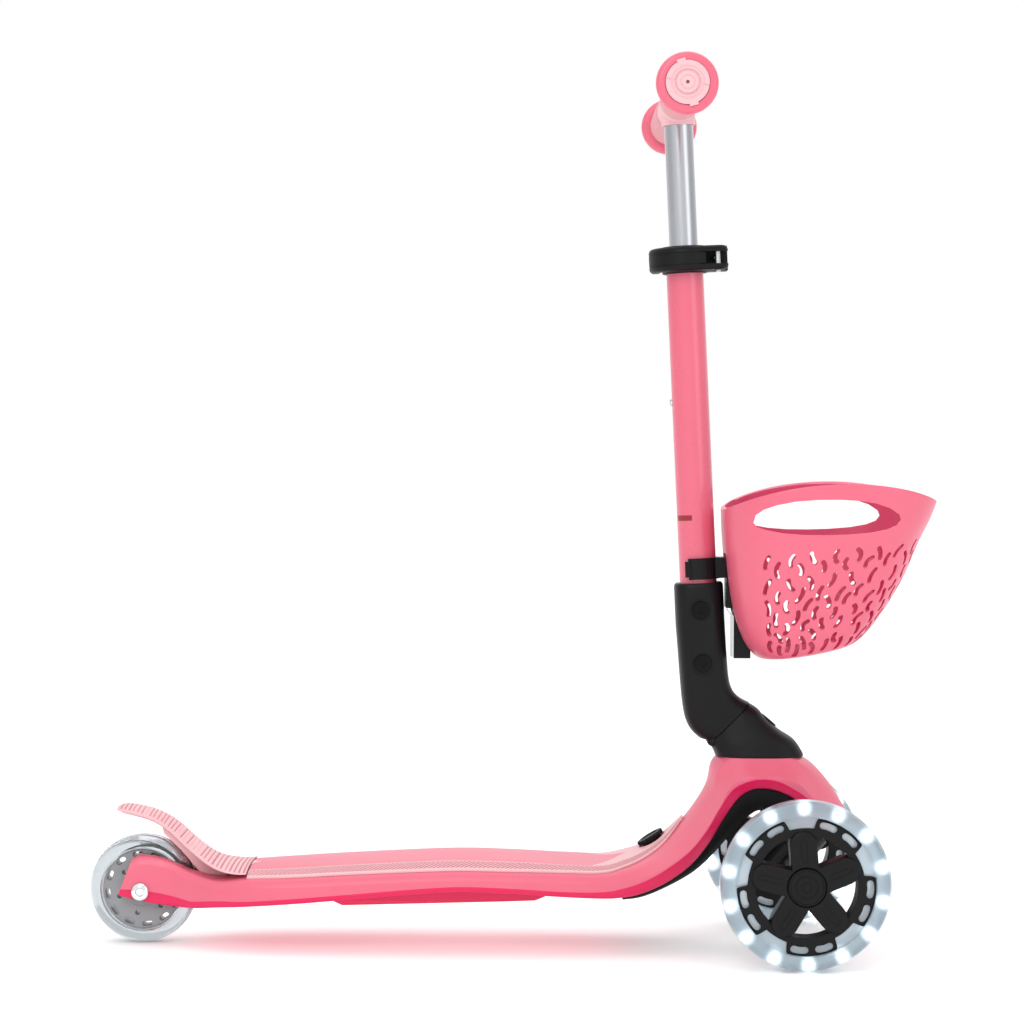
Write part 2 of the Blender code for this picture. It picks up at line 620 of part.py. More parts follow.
def make_column_base():
    """Lower half of the folding joint, from the nose's top up to the slanted parting face."""
    p, z = FRONT_AXLE.x, FRONT_AXLE.z
    profile = [  # rear x and z, front x and z, half-width
        (p - 0.0578, NECK_TOP + GAP, p + 0.0062, NECK_TOP + GAP, 0.0245),
        (p - 0.0583, z + 0.0824, p + 0.0048, z + 0.0856, 0.0243),
        (p - 0.0592, z + 0.0842, p - 0.0004, z + 0.0930, 0.0236),
        (p - 0.0603, z + 0.0862, p - 0.0110, z + 0.1000, 0.0224),
        (p - 0.0612, z + 0.0878, p - 0.0210, z + 0.1085, 0.0207),
        (p - 0.0620, z + 0.0890, p - 0.0265, z + 0.1150, 0.0194),
        (p - 0.0626, z + 0.0898, p - 0.0330, z + 0.1192, SLEEVE_HALF_WIDTH),
    ]
    rings = [tilted_ring(Vector((a, 0, b)), Vector((c, 0, d)), w, 2.6)
             for a, b, c, d, w in profile]
    base = add("column_base", loft_mesh("base", rings), "black_plastic")
    clear = box_mesh("above_joint", (-0.02, -0.03, 0), (0.05, 0.03, 0.03))
    clear.transform(Matrix.Rotation(-JOINT_SLOPE, 4, "Y"))
    clear.transform(Matrix.Translation(FOLD_PIVOT + Vector((0, 0, 0))))
    cut(base, clear, hinge_rod("middle_room", KNUCKLE_RADIUS + GAP, -KNUCKLE_HALF - GAP,
                               KNUCKLE_HALF + GAP))
    for side in (-1, 1):
        join(base, hinge_rod("knuckle", KNUCKLE_RADIUS, side * (KNUCKLE_HALF + 2 * GAP),
                             side * HINGE_HALF))
    cut(base, hinge_rod("pin_bore", FOLD_PIN_RADIUS + RUN, -0.04, 0.04, 16),
        fold_button_room())
    add("fold_pin", hinge_rod("pin", FOLD_PIN_RADIUS, -HINGE_HALF, HINGE_HALF, 16), "steel")


FOLD_BUTTON_PLACE = FRONT_AXLE + Vector((-0.0190, 0, 0.1062))
FOLD_BUTTON_OUT = Vector((math.sin(math.radians(40)), 0, math.cos(math.radians(40))))
FOLD_BUTTON_RADIUS = 0.0070
FOLD_BUTTON_TRAVEL = 0.0030


def fold_button_room():
    return rod_mesh("button_room", FOLD_BUTTON_RADIUS + GAP,
                    FOLD_BUTTON_PLACE - FOLD_BUTTON_OUT * 0.0060,
                    FOLD_BUTTON_PLACE + FOLD_BUTTON_OUT * 0.02, 24)


def make_fold_button():
    mesh = rod_mesh("button", FOLD_BUTTON_RADIUS, -FOLD_BUTTON_OUT * 0.0025,
                    FOLD_BUTTON_OUT * (FOLD_BUTTON_TRAVEL + 0.0006), 24)
    bevel(add("fold_release_button", mesh, "black_plastic", None, FOLD_BUTTON_PLACE), 0.0008, 1)


COLUMN = Matrix.Translation(COLUMN_FOOT) @ Matrix.Rotation(-COLUMN_TILT, 4, "Y")


def in_column(mesh):
    mesh.transform(COLUMN.inverted())
    return mesh


def make_sleeve(column):
    """Upper half of the folding joint, which holds the outer tube."""
    p, z = FRONT_AXLE.x, FRONT_AXLE.z
    wide = SLEEVE_HALF_WIDTH
    foot = [  # rear x and z, front x and z
        (p - 0.0627, z + 0.0898, p - 0.0335, z + 0.1199),
        (p - 0.0690, z + 0.0932, p - 0.0392, z + 0.1228),
        (p - 0.0757, z + 0.0993, p - 0.0442, z + 0.1272),
        (p - 0.0798, z + 0.1070, p - 0.0472, z + 0.1332),
        (p - 0.0820, z + 0.1170, p - 0.0487, z + 0.1410),
        (p - 0.0836, z + 0.1310, p - 0.0494, z + 0.1490),
        (p - 0.0855, z + 0.1545, p - 0.0502, z + 0.1585),
    ]
    rings = [tilted_ring(Vector((a, 0, b)), Vector((c, 0, d)), wide, 2.4)
             for a, b, c, d in foot]
    for up, depth in ((SLEEVE_TOP - 0.030, 0.0180), (SLEEVE_TOP - 0.0020, 0.0180),
                      (SLEEVE_TOP, 0.0165)):
        rings.append([COLUMN @ Vector((x, y, up))
                      for x, y in superellipse(20, depth, wide + depth - 0.0180, 2.4)])
    sleeve = add("column_sleeve", in_column(loft_mesh("sleeve", rings)), "black_plastic", column)
    below = box_mesh("below_joint", (-0.03, -0.03, -0.03), (0.06, 0.03, 0))
    below.transform(Matrix.Rotation(-JOINT_SLOPE, 4, "Y"))
    below.transform(Matrix.Translation(FOLD_PIVOT + JOINT_NORMAL * 2 * GAP))
    heel = box_mesh("heel_room", (-0.012, -0.03, -0.008), (0, 0.03, 0))
    heel.transform(Matrix.Rotation(math.radians(12), 4, "Y"))
    heel.transform(Matrix.Translation(FOLD_PIVOT))
    cut(sleeve, in_column(below), in_column(heel))
    for side in (-1, 1):
        cut(sleeve, in_column(hinge_rod("outer_room", KNUCKLE_RADIUS + GAP, side * KNUCKLE_HALF,
                                        side * (HINGE_HALF + GAP))))
    join(sleeve, in_column(hinge_rod("knuckle", KNUCKLE_RADIUS, -KNUCKLE_HALF, KNUCKLE_HALF)))
    bore = rod_mesh("tube_bore", OUTER_TUBE_RADIUS + GAP, (0, 0, OUTER_TUBE_BOTTOM - GAP),
                    (0, 0, SLEEVE_TOP + 0.01), 28)
    cut(sleeve, in_column(hinge_rod("pin_bore", FOLD_PIN_RADIUS + RUN, -0.02, 0.02, 16)), bore)
    for up in SLEEVE_BOLTS_UP:
        for side in (-1, 1):
            join(sleeve, rod_mesh("boss", BOLT_HEAD_RADIUS + 0.0028, (0, side * 0.0150, up),
                                  (0, side * (wide + 0.0008), up), 16))
    for up in SLEEVE_BOLTS_UP:
        for side in (-1, 1):
            cut(sleeve, rod_mesh("well", BOLT_HEAD_RADIUS + GAP, (0, side * 0.0162, up),
                                 (0, side * 0.03, up), 16))
        cut(sleeve, rod_mesh("bolt_bore", BOLT_RADIUS + GAP, (0, -0.03, up), (0, 0.03, up), 12))


def make_sleeve_bolts(column):
    """Two bolts through sleeve and tube, with round nuts on the far side."""
    for up, name in zip(SLEEVE_BOLTS_UP, ("lower", "upper")):
        seat = 0.0162 + GAP
        bolt = add(f"sleeve_bolt_{name}", rod_mesh(
            "head", BOLT_HEAD_RADIUS, (0, -seat, up), (0, -seat - 0.0028, up), 16),
            "black_plastic", column)
        join(bolt, rod_mesh("shank", BOLT_RADIUS, (0, -seat - 0.001, up), (0, seat + 0.0015, up), 16))
        cut(bolt, rod_mesh("hex", 0.0026, (0, -seat - 0.0012, up), (0, -seat - 0.01, up), 6))
        nut = add(f"sleeve_nut_{name}", rod_mesh(
            "nut", BOLT_HEAD_RADIUS, (0, seat, up), (0, seat + 0.0028, up), 16),
            "black_plastic", column)
        cut(nut, rod_mesh("thread", BOLT_RADIUS + GAP, (0, 0, up), (0, seat + 0.0016, up), 16),
            rod_mesh("hex", 0.0026, (0, seat + 0.0012, up), (0, seat + 0.01, up), 6))


# ---------------------------------------------------------------- column tubes and clamp
def tube_mesh(name, outer, inner, low, high, segments=28):
    mesh = turned_mesh(name, [(outer, high), (outer, low), (inner, low), (inner, high)], segments)
    mesh.transform(Matrix.Rotation(math.radians(90), 4, "X"))
    return mesh


def make_outer_tube(column):
    tube = add("outer_tube", tube_mesh("tube", OUTER_TUBE_RADIUS,
                                       OUTER_TUBE_RADIUS - OUTER_TUBE_WALL,
                                       OUTER_TUBE_BOTTOM, OUTER_TUBE_TOP), "coral_paint", column)
    for up in SLEEVE_BOLTS_UP:
        cut(tube, rod_mesh("bolt_hole", BOLT_RADIUS + GAP, (0, -0.03, up), (0, 0.03, up), 16))
    cut(tube, rod_mesh("button_hole", SPRING_BUTTON_RADIUS + GAP, (0, 0, SPRING_BUTTON_UP),
                       (-0.03, 0, SPRING_BUTTON_UP), 16))
    inner, outer = INNER_TUBE_RADIUS + RUN, OUTER_TUBE_RADIUS - OUTER_TUBE_WALL - GAP
    add("guide_bush", tube_mesh("bush", outer, inner, OUTER_TUBE_TOP - 0.060,
                                OUTER_TUBE_TOP - 0.001, 32), "black_plastic", column)


SPRING_BUTTON_RADIUS = 0.0025


def make_spring_button(column):
    mesh = rod_mesh("button", SPRING_BUTTON_RADIUS, (-0.0016, 0, 0),
                    (OUTER_TUBE_WALL + 0.0001, 0, 0), 16)
    bevel(add("spring_button", mesh, "steel", column,
              (-OUTER_TUBE_RADIUS, 0, SPRING_BUTTON_UP)), 0.0005, 1)


CLAMP_RING_RADIUS = 0.0166
CLAMP_AXIS_AHEAD = 0.0235
LEVER_AXIS_SIDE = -0.0150
LEVER_INNER = 0.0172
LEVER_OUTER = 0.0262
LEVER_HEIGHT = 0.0182
LEVER_PIN_RADIUS = 0.0021
CLAMP_BOLT_RADIUS = 0.0022


def make_clamp(column):
    low, high = CLAMP_MIDDLE - CLAMP_HEIGHT / 2, CLAMP_MIDDLE + CLAMP_HEIGHT / 2
    ears = box_mesh("ears", (0.010, -0.0060, low + 0.001), (0.0315, 0.0125, high - 0.001))
    ring = rod_mesh("ring", CLAMP_RING_RADIUS, (0, 0, low), (0, 0, high), 32)
    collar = add("clamp_collar", ring, "black_plastic", column)
    join(collar, ears)
    lip = INNER_TUBE_RADIUS + RUN
    cut(collar, rod_mesh("tube_room", OUTER_TUBE_RADIUS + GAP, (0, 0, low - 0.01),
                         (0, 0, OUTER_TUBE_TOP + GAP), 32),
        rod_mesh("inner_room", lip, (0, 0, low), (0, 0, high + 0.01), 28),
        box_mesh("slit", (0.008, -0.0009, low - 0.01), (0.04, 0.0009, high + 0.01)),
        rod_mesh("bolt_bore", CLAMP_BOLT_RADIUS + GAP, (CLAMP_AXIS_AHEAD, -0.03, CLAMP_MIDDLE),
                 (CLAMP_AXIS_AHEAD, 0.03, CLAMP_MIDDLE), 16))
    place = (CLAMP_AXIS_AHEAD, LEVER_AXIS_SIDE + LEVER_PIN_RADIUS + GAP, CLAMP_MIDDLE)
    bolt = add("clamp_bolt", rod_mesh("shank", CLAMP_BOLT_RADIUS, place,
                                      (CLAMP_AXIS_AHEAD, 0.0140, CLAMP_MIDDLE), 16),
               "steel", column)
    join(bolt, rod_mesh("head", 0.0050, (CLAMP_AXIS_AHEAD, 0.0125 + GAP, CLAMP_MIDDLE),
                        (CLAMP_AXIS_AHEAD, 0.0165, CLAMP_MIDDLE), 24))
    add("clamp_pin", rod_mesh("pin", LEVER_PIN_RADIUS,
                              (CLAMP_AXIS_AHEAD, LEVER_AXIS_SIDE, CLAMP_MIDDLE - 0.0105),
                              (CLAMP_AXIS_AHEAD, LEVER_AXIS_SIDE, CLAMP_MIDDLE + 0.0088), 16),
        "steel", column)


def make_clamp_lever(column):
    """Cam lever that wraps round the rear of the collar and swings out on an upright pin."""
    knuckle = 0.0080
    pivot = (CLAMP_AXIS_AHEAD, LEVER_AXIS_SIDE)
    points = arc((0, 0), LEVER_OUTER, 162, 292, 12) + arc(pivot, knuckle, -75, 90, 6)
    points += arc((0, 0), LEVER_INNER, 316, 162, 14)
    points = [(x - pivot[0], y - pivot[1]) for x, y in points]
    lever = add("clamp_lever", outline_mesh("lever", points, LEVER_HEIGHT), "black_plastic",
                column, (*pivot, CLAMP_MIDDLE))
    bevel(lever, 0.0025, 1, 50)
    cut(lever, box_mesh("window", (-0.0095, -0.012, -0.0045), (0.012, 0.012, 0.0045)),
        rod_mesh("pin_bore", LEVER_PIN_RADIUS + RUN, (0, 0, -0.02), (0, 0, 0.02), 16))


# ---------------------------------------------------------------- handlebar
def bar_rod(name, radius, start, end, segments=28, end_radius=None):
    return rod_mesh(name, radius, (0, start, BAR_UP), (0, end, BAR_UP), segments, end_radius)


def ring_about_bar(name, profile, side, segments=26):
    """Turned ring about the handlebar, with its profile given outwards from the middle."""
    mesh = turned_mesh(name, profile, segments)
    if side < 0:
        mesh.transform(Matrix.Rotation(math.radians(180), 4, "X"))
    mesh.transform(Matrix.Translation((0, 0, BAR_UP)))
    return mesh


GRIP_START = 0.0380
GRIP_END = BAR_HALF_WIDTH - BUMPER_WIDTH - 0.0005
CORE_RADIUS = 0.0100


def make_bar(column):
    slide = empty("height_slide", (0, 0, 0), column)
    tube = add("inner_tube", tube_mesh("tube", INNER_TUBE_RADIUS,
                                       INNER_TUBE_RADIUS - INNER_TUBE_WALL, INNER_TUBE_BOTTOM,
                                       BAR_UP - 0.004, 28), "silver_alloy", slide)
    for step in (-1, 0, 1):
        up = SPRING_BUTTON_UP - step * HEIGHT_STEP
        cut(tube, rod_mesh("setting_hole", SPRING_BUTTON_RADIUS + 0.0004, (0, 0, up),
                           (-0.03, 0, up), 14))
    bar = add("handlebar_core", bar_rod("middle", BAR_RADIUS, -GRIP_START, GRIP_START),
              "blush_plastic", slide)
    join(bar, bar_rod("core", CORE_RADIUS, -BAR_HALF_WIDTH + 0.006, BAR_HALF_WIDTH - 0.006, 24))
    cut(bar, rod_mesh("tube_socket", INNER_TUBE_RADIUS + GAP, (0, 0, BAR_UP - 0.03),
                      (0, 0, BAR_UP - 0.004 + GAP), 28))
    for side, name in ((1, "left"), (-1, "right")):
        make_bar_end(slide, side, name)


def make_bar_end(slide, side, name):
    """Grip, round bumper and end plug of one side."""
    bore = CORE_RADIUS + GAP
    start, end = GRIP_START + GAP, GRIP_END - GAP
    profile = [(GRIP_RADIUS - 0.0010, start), (GRIP_RADIUS, start + 0.0040),
               (GRIP_RADIUS, end - 0.0040), (GRIP_RADIUS - 0.0010, end), (bore, end),
               (bore, start)]
    add(f"grip_{name}", ring_about_bar("grip", profile, side, 28), "blush_plastic", slide)
    inner, outer = GRIP_END, GRIP_END + BUMPER_WIDTH - 0.0015
    middle = (inner + outer) / 2
    rim = [(BUMPER_RADIUS - 0.0034, inner), (BUMPER_RADIUS - 0.0008, inner + 0.0024),
           (BUMPER_RADIUS, middle), (BUMPER_RADIUS - 0.0008, outer - 0.0024),
           (BUMPER_RADIUS - 0.0034, outer), (PLUG_RADIUS + GAP, outer),
           (PLUG_RADIUS + GAP, inner + 0.0040), (bore, inner + 0.0040), (bore, inner)]
    add(f"bumper_{name}", ring_about_bar("bumper", rim, side), "coral_plastic", slide)
    seat, face = inner + 0.0040 + GAP, BAR_HALF_WIDTH
    depth = BAR_HALF_WIDTH - 0.006 + GAP
    plug = add(f"end_plug_{name}", bar_rod("plug", PLUG_RADIUS, side * seat, side * face, 26),
               "blush_plastic", slide)
    groove = ring_about_bar("groove", [(0.0083, face + 0.001), (0.0083, face - 0.0008),
                                       (0.0070, face - 0.0008), (0.0070, face + 0.001)],
                            side, 20)
    cut(plug, bar_rod("core_room", CORE_RADIUS + GAP, side * (seat - 0.01), side * depth, 24),
        groove, bar_rod("centre", 0.0013, side * (face - 0.003), side * (face + 0.01), 12))


# ---------------------------------------------------------------- wheels
def bearing(name, side, wheel, parent):
    """Sealed bearing in one side of a hub, as one turned ring."""
    half = wheel / 2
    outer, inner = BEARING_RADIUS, FRONT_AXLE_RADIUS + RUN
    low, high = half - 0.0035 - BEARING_WIDTH, half - 0.0035
    profile = [(outer, high), (outer, low), (inner, low), (inner, high)]
    mesh = turned_mesh("bearing", profile, 16)
    if side < 0:
        mesh.transform(Matrix.Rotation(math.radians(180), 4, "X"))
    return add(name, mesh, "steel", parent)


def tyre_profile(outer, inner, width, shoulder):
    """Section of a tyre as it is turned: outer side first, then back along the bore."""
    half = width / 2
    points = []
    for i in range(5):
        angle = math.radians(90 - i * 45)
        points.append((outer - shoulder * (1 - math.cos(angle)), half * math.sin(angle)))
    return points + [(inner, -half + 0.0008), (inner, half - 0.0008)]


def make_front_wheel(side, name, truck):
    hub = empty(f"front_wheel_{name}_axis", FRONT_AXLE - TRUCK_PIVOT
                + Vector((0, side * FRONT_TRACK / 2, 0)), truck)
    half = FRONT_WHEEL_WIDTH / 2
    add(f"front_tyre_{name}", turned_mesh("tyre", tyre_profile(
        FRONT_WHEEL_RADIUS, FRONT_CORE_RADIUS + GAP, FRONT_WHEEL_WIDTH, 0.006), 36),
        "clear_urethane", hub)
    ring = turned_mesh("ring", [(FRONT_RING_OUTER, half - 0.002), (FRONT_RING_OUTER, 0.002 - half),
                                (FRONT_RING_INNER, 0.002 - half),
                                (FRONT_RING_INNER, half - 0.002)], 30)
    core = add(f"front_core_{name}", ring, "black_plastic", hub)
    parts = [rod_mesh("hub", FRONT_HUB_RADIUS, (0, -half + 0.001, 0), (0, half - 0.001, 0), 15)]
    for i in range(SPOKES):
        angle = 23 + i * 360 / SPOKES
        tip = FRONT_RING_INNER + 0.0015
        spoke = [(0.0090, -0.0055), (tip - 0.0080, -0.0090), (tip, -0.0062), (tip, 0.0062),
                 (tip - 0.0080, 0.0090), (0.0090, 0.0055)]
        mesh = side_outline_mesh("spoke", spoke, half - 0.0035)
        mesh.transform(Matrix.Rotation(math.radians(-angle), 4, "Y"))
        parts.append(mesh)
        middle = angle + 180 / SPOKES
        block = arc((0, 0), FRONT_CORE_RADIUS, middle - 24, middle + 24, 5)
        block += arc((0, 0), FRONT_RING_OUTER - 0.002, middle + 24, middle - 24, 2)
        mesh = side_outline_mesh("block", block, half - 0.003)
        parts.append(mesh)
    join(core, *parts)
    windows = []
    for i in range(SPOKES):
        middle = 23 + (i + 0.5) * 360 / SPOKES
        for offset in (-11.5, 11.5):
            spread = 7.5
            slot = arc((0, 0), 0.0460, middle + offset - spread, middle + offset + spread, 2)
            slot += arc((0, 0), 0.0430, middle + offset + spread, middle + offset - spread, 2)
            windows.append(side_outline_mesh("window", slot, half + 0.002))
    bores = [rod_mesh("axle_bore", FRONT_AXLE_RADIUS + 0.0015, (0, -half, 0), (0, half, 0), 12)]
    for end in (-1, 1):
        bores.append(rod_mesh("bearing_seat", BEARING_RADIUS + GAP,
                              (0, end * (half - 0.0035 - BEARING_WIDTH - GAP), 0),
                              (0, end * (half + 0.002), 0), 16))
    cut(core, *windows, *bores)
    for end, place in ((-1, "inner" if side > 0 else "outer"), (1, "outer" if side > 0 else "inner")):
        bearing(f"front_bearing_{name}_{place}", end, FRONT_WHEEL_WIDTH, hub)
    sleeve = half - 0.0035 - BEARING_WIDTH - GAP
    magnet = turned_mesh("sleeve", [(0.0053, sleeve), (0.0053, -sleeve),
                                    (FRONT_AXLE_RADIUS + RUN, -sleeve),
                                    (FRONT_AXLE_RADIUS + RUN, sleeve)], 16)
    add(f"magnet_sleeve_{name}", magnet, "steel", truck, FRONT_AXLE - TRUCK_PIVOT
        + Vector((0, side * FRONT_TRACK / 2, 0)))
    make_hub_cap(side, name, hub)


def make_hub_cap(side, name, hub):
    """Domed cap over the axle's end, which clips into the outer bearing seat."""
    half = FRONT_WHEEL_WIDTH / 2
    out = half - 0.0035 + GAP
    cap = add(f"hub_cap_{name}", rod_mesh("plug", BEARING_RADIUS - 0.0002, (0, side * out, 0),
                                          (0, side * (half + 0.001), 0), 24), "black_plastic", hub)
    join(cap, rod_mesh("cap", FRONT_HUB_RADIUS - 0.0004, (0, side * (half - 0.001 + GAP), 0),
                       (0, side * (half + 0.0018), 0), 32, 0.0118))
    cut(cap, rod_mesh("axle_room", FRONT_AXLE_RADIUS + 0.0012, (0, side * (out - 0.01), 0),
                      (0, side * (half - 0.0006), 0), 20))


def make_truck():
    """Beam that leans on an inclined kingpin and so steers both front wheels."""
    axis = empty("truck_axis", TRUCK_PIVOT)
    axle = FRONT_AXLE - TRUCK_PIVOT
    half = FRONT_TRACK / 2 - FRONT_WHEEL_WIDTH / 2 - 0.0030
    beam = add("truck_beam", box_mesh("beam", axle + Vector((-0.0085, -half, -0.0080)),
                                      axle + Vector((0.0085, half, 0.0080))),
               "black_plastic", axis)
    bevel(beam, 0.0025, 1)
    join(beam, rod_mesh("boss", 0.0145, -TRUCK_UP * 0.009, TRUCK_UP * TRUCK_BOSS_TOP, 32))
    cut(beam, rod_mesh("kingpin_bore", KINGPIN_RADIUS + RUN, -TRUCK_UP * 0.03, TRUCK_UP * 0.03, 20),
        rod_mesh("bush_room", 0.0150, TRUCK_UP * TRUCK_BOSS_TOP, TRUCK_UP * 0.04, 28))
    bush = turned_mesh("bush", [(0.0125, BUSH_TOP), (0.0135, (BUSH_TOP + TRUCK_BOSS_TOP) / 2),
                                (0.0125, TRUCK_BOSS_TOP + GAP), (KINGPIN_RADIUS + RUN,
                                                                 TRUCK_BOSS_TOP + GAP),
                                (KINGPIN_RADIUS + RUN, BUSH_TOP)], 28)
    bush.transform(Matrix.Rotation(math.radians(90), 4, "X"))
    bush.transform(TRUCK_UP.to_track_quat("Z", "Y").to_matrix().to_4x4())
    add("truck_bush", bush, "rubber", axis)
    for side, name in ((1, "left"), (-1, "right")):
        inner, outer = half - 0.030, FRONT_TRACK / 2 + FRONT_WHEEL_WIDTH / 2 - 0.0030
        cut(beam, rod_mesh("axle_bore", FRONT_AXLE_RADIUS + GAP,
                           axle + Vector((0, side * (inner - GAP), 0)),
                           axle + Vector((0, side * (half + 0.01), 0)), 20))
        stub = add(f"front_axle_{name}", rod_mesh(
            "stub", FRONT_AXLE_RADIUS, axle + Vector((0, side * inner, 0)),
            axle + Vector((0, side * outer, 0)), 20), "steel", axis)
        spacer = side * (half + 0.0004)
        join(stub, rod_mesh("collar", 0.0058, axle + Vector((0, spacer, 0)),
                            axle + Vector((0, spacer + side * 0.0022, 0)), 20))
        make_front_wheel(side, name, axis)
    kingpin = add("kingpin", rod_mesh("pin", KINGPIN_RADIUS, on_truck_axis(-0.0115),
                                      on_truck_axis(SOCKET_TOP - 0.0030), 20), "steel")
    join(kingpin, rod_mesh("head", 0.0070, on_truck_axis(-0.0140),
                           on_truck_axis(-0.009 - GAP), 6))


def make_rear_wheel():
    hub = empty("rear_wheel_axis", REAR_AXLE)
    half = REAR_WHEEL_WIDTH / 2
    add("rear_tyre", turned_mesh("tyre", tyre_profile(
        REAR_WHEEL_RADIUS, REAR_CORE_RADIUS + GAP, REAR_WHEEL_WIDTH, 0.007), 32),
        "clear_urethane", hub)
    core = add("rear_core", rod_mesh("core", REAR_CORE_RADIUS, (0, -half + 0.002, 0),
                                     (0, half - 0.002, 0), 30), "grey_plastic", hub)
    cuts = []
    for i in range(12):
        middle = 30 * i
        slot = arc((0, 0), 0.0278, middle - 8, middle + 8, 2)
        slot += arc((0, 0), 0.0243, middle + 8, middle - 8, 2)
        cuts.append(side_outline_mesh("window", slot, half))
    for i in range(6):
        angle = math.radians(60 * i + 18)
        x, z = 0.0178 * math.cos(angle), 0.0178 * math.sin(angle)
        cuts.append(rod_mesh("hole", 0.0017, (x, -0.02, z), (x, 0.02, z), 8))
    cuts.append(rod_mesh("axle_bore", REAR_AXLE_RADIUS + 0.0015, (0, -half, 0), (0, half, 0), 20))
    for end in (-1, 1):
        cuts.append(rod_mesh("bearing_seat", BEARING_RADIUS + GAP,
                             (0, end * (half - 0.0035 - BEARING_WIDTH - GAP), 0),
                             (0, end * (half + 0.002), 0), 16))
    cut(core, *cuts)
    bearing("rear_bearing_left", 1, REAR_WHEEL_WIDTH, hub)
    bearing("rear_bearing_right", -1, REAR_WHEEL_WIDTH, hub)
    sleeve = half - 0.0035 - BEARING_WIDTH - GAP
    add("rear_spacer", turned_mesh("spacer", [(0.0053, sleeve), (0.0053, -sleeve),
                                              (REAR_AXLE_RADIUS + RUN, -sleeve),
                                              (REAR_AXLE_RADIUS + RUN, sleeve)], 16),
        "steel", None, REAR_AXLE)
    across = Vector((0, 1, 0))
    seat = FORK_HALF + GAP
    bolt = add("rear_axle_bolt", rod_mesh("shank", REAR_AXLE_RADIUS, REAR_AXLE - across * (seat + 0.0005),
                                          REAR_AXLE + across * (seat + 0.0035), 20), "steel")
    join(bolt, rod_mesh("head", 0.0068, REAR_AXLE - across * seat,
                        REAR_AXLE - across * (seat + 0.0030), 28, 0.0055))
    cut(bolt, rod_mesh("hex", 0.0026, REAR_AXLE - across * (seat + 0.001),
                       REAR_AXLE - across * (seat + 0.01), 6))
    nut = add("rear_axle_nut", rod_mesh("nut", 0.0068, REAR_AXLE + across * seat,
                                        REAR_AXLE + across * (seat + 0.0042), 6), "steel")
    cut(nut, rod_mesh("thread", REAR_AXLE_RADIUS + GAP, REAR_AXLE + across * 0.0,
                      REAR_AXLE + across * (seat + 0.0055), 20))


# ---------------------------------------------------------------- brake
def make_brake():
    """Sprung fender that is stepped on to rub the rear wheel."""
    rx, rz = REAR_AXLE.x - BRAKE_PIVOT.x, REAR_AXLE.z - BRAKE_PIVOT.z
    tail = FORK_HALF - 0.0025
    stations = [  # x and z on top, half-width, thickness, drop of the edges
        (rx - 0.0190, rz + 0.0605, tail - 0.008, 0.0030, 0.0010),
        (rx - 0.0140, rz + 0.0620, tail - 0.002, 0.0045, 0.0020),
        (rx - 0.0030, rz + 0.0610, tail, 0.0050, 0.0030),
        (rx + 0.0120, rz + 0.0570, tail, 0.0050, 0.0040),
        (rx + 0.0260, rz + 0.0490, tail + 0.001, 0.0050, 0.0050),
        (rx + 0.0410, rz + 0.0355, tail + 0.004, 0.0045, 0.0050),
        (rx + 0.0540, rz + 0.0255, tail + 0.011, 0.0040, 0.0040),
        (rx + 0.0640, rz + 0.0210, DECK_HALF_WIDTH - 0.018, 0.0035, 0.0030),
        (rx + 0.0740, rz + 0.0192, DECK_HALF_WIDTH - 0.014, 0.0025, 0.0026),
    ]
    rows = between(stations, 2)
    rings = []
    for index, (x, z, half, thick, drop) in enumerate(rows):
        before, after = rows[max(index - 1, 0)], rows[min(index + 1, len(rows) - 1)]
        up = Vector((before[1] - after[1], 0, after[0] - before[0])).normalized()
        shares = (-1, -0.7, -0.35, 0, 0.35, 0.7, 1)
        top = [Vector((x, half * s, z)) - up * drop * s * s for s in shares]
        low = [point - up * thick * (1 - 0.45 * s ** 4) for point, s in zip(top, shares)]
        rings.append(top + low[::-1])
    fender = add("brake_fender", loft_mesh("plate", rings), "blush_plastic", None, BRAKE_PIVOT)
    skirt_half = SLOT_HALF - 0.0012
    skirt = [(rx + 0.0140, rz + 0.0520), (rx + 0.0160, rz + 0.0420), (rx + 0.0285, rz + 0.0300),
             (rx + 0.0370, rz + 0.0200), (rx + 0.0440, rz + 0.0120), (rx + 0.0525, rz + 0.0060),
             (rx + 0.0560, rz + 0.0180), (rx + 0.0420, rz + 0.0310), (rx + 0.0270, rz + 0.0440)]
    lug = arc((0, 0), 0.0052, 200, 360, 7) + [(0.0050, 0.0050), (0.0010, 0.0125), (-0.0120, 0.0140)]
    join(fender, side_outline_mesh("skirt", skirt, skirt_half),
         side_outline_mesh("lug", lug, skirt_half))
    reach = Vector((0, 0.04, 0))
    cut(fender, rod_mesh("pin_bore", BRAKE_PIN_RADIUS + RUN, -reach, reach, 16))
    half = Vector((0, BRAKE_PIN_HALF, 0))
    add("brake_pin", rod_mesh("pin", BRAKE_PIN_RADIUS, BRAKE_PIVOT - half, BRAKE_PIVOT + half, 16),
        "steel")


# ---------------------------------------------------------------- basket and bracket
BASKET_REAR = FRONT_AXLE.x + BASKET_REAR_AHEAD
CHANNEL_HALF = BRACKET_HALF_WIDTH + 0.0012
CHANNEL_FRONT = FRONT_AXLE.x - 0.0300


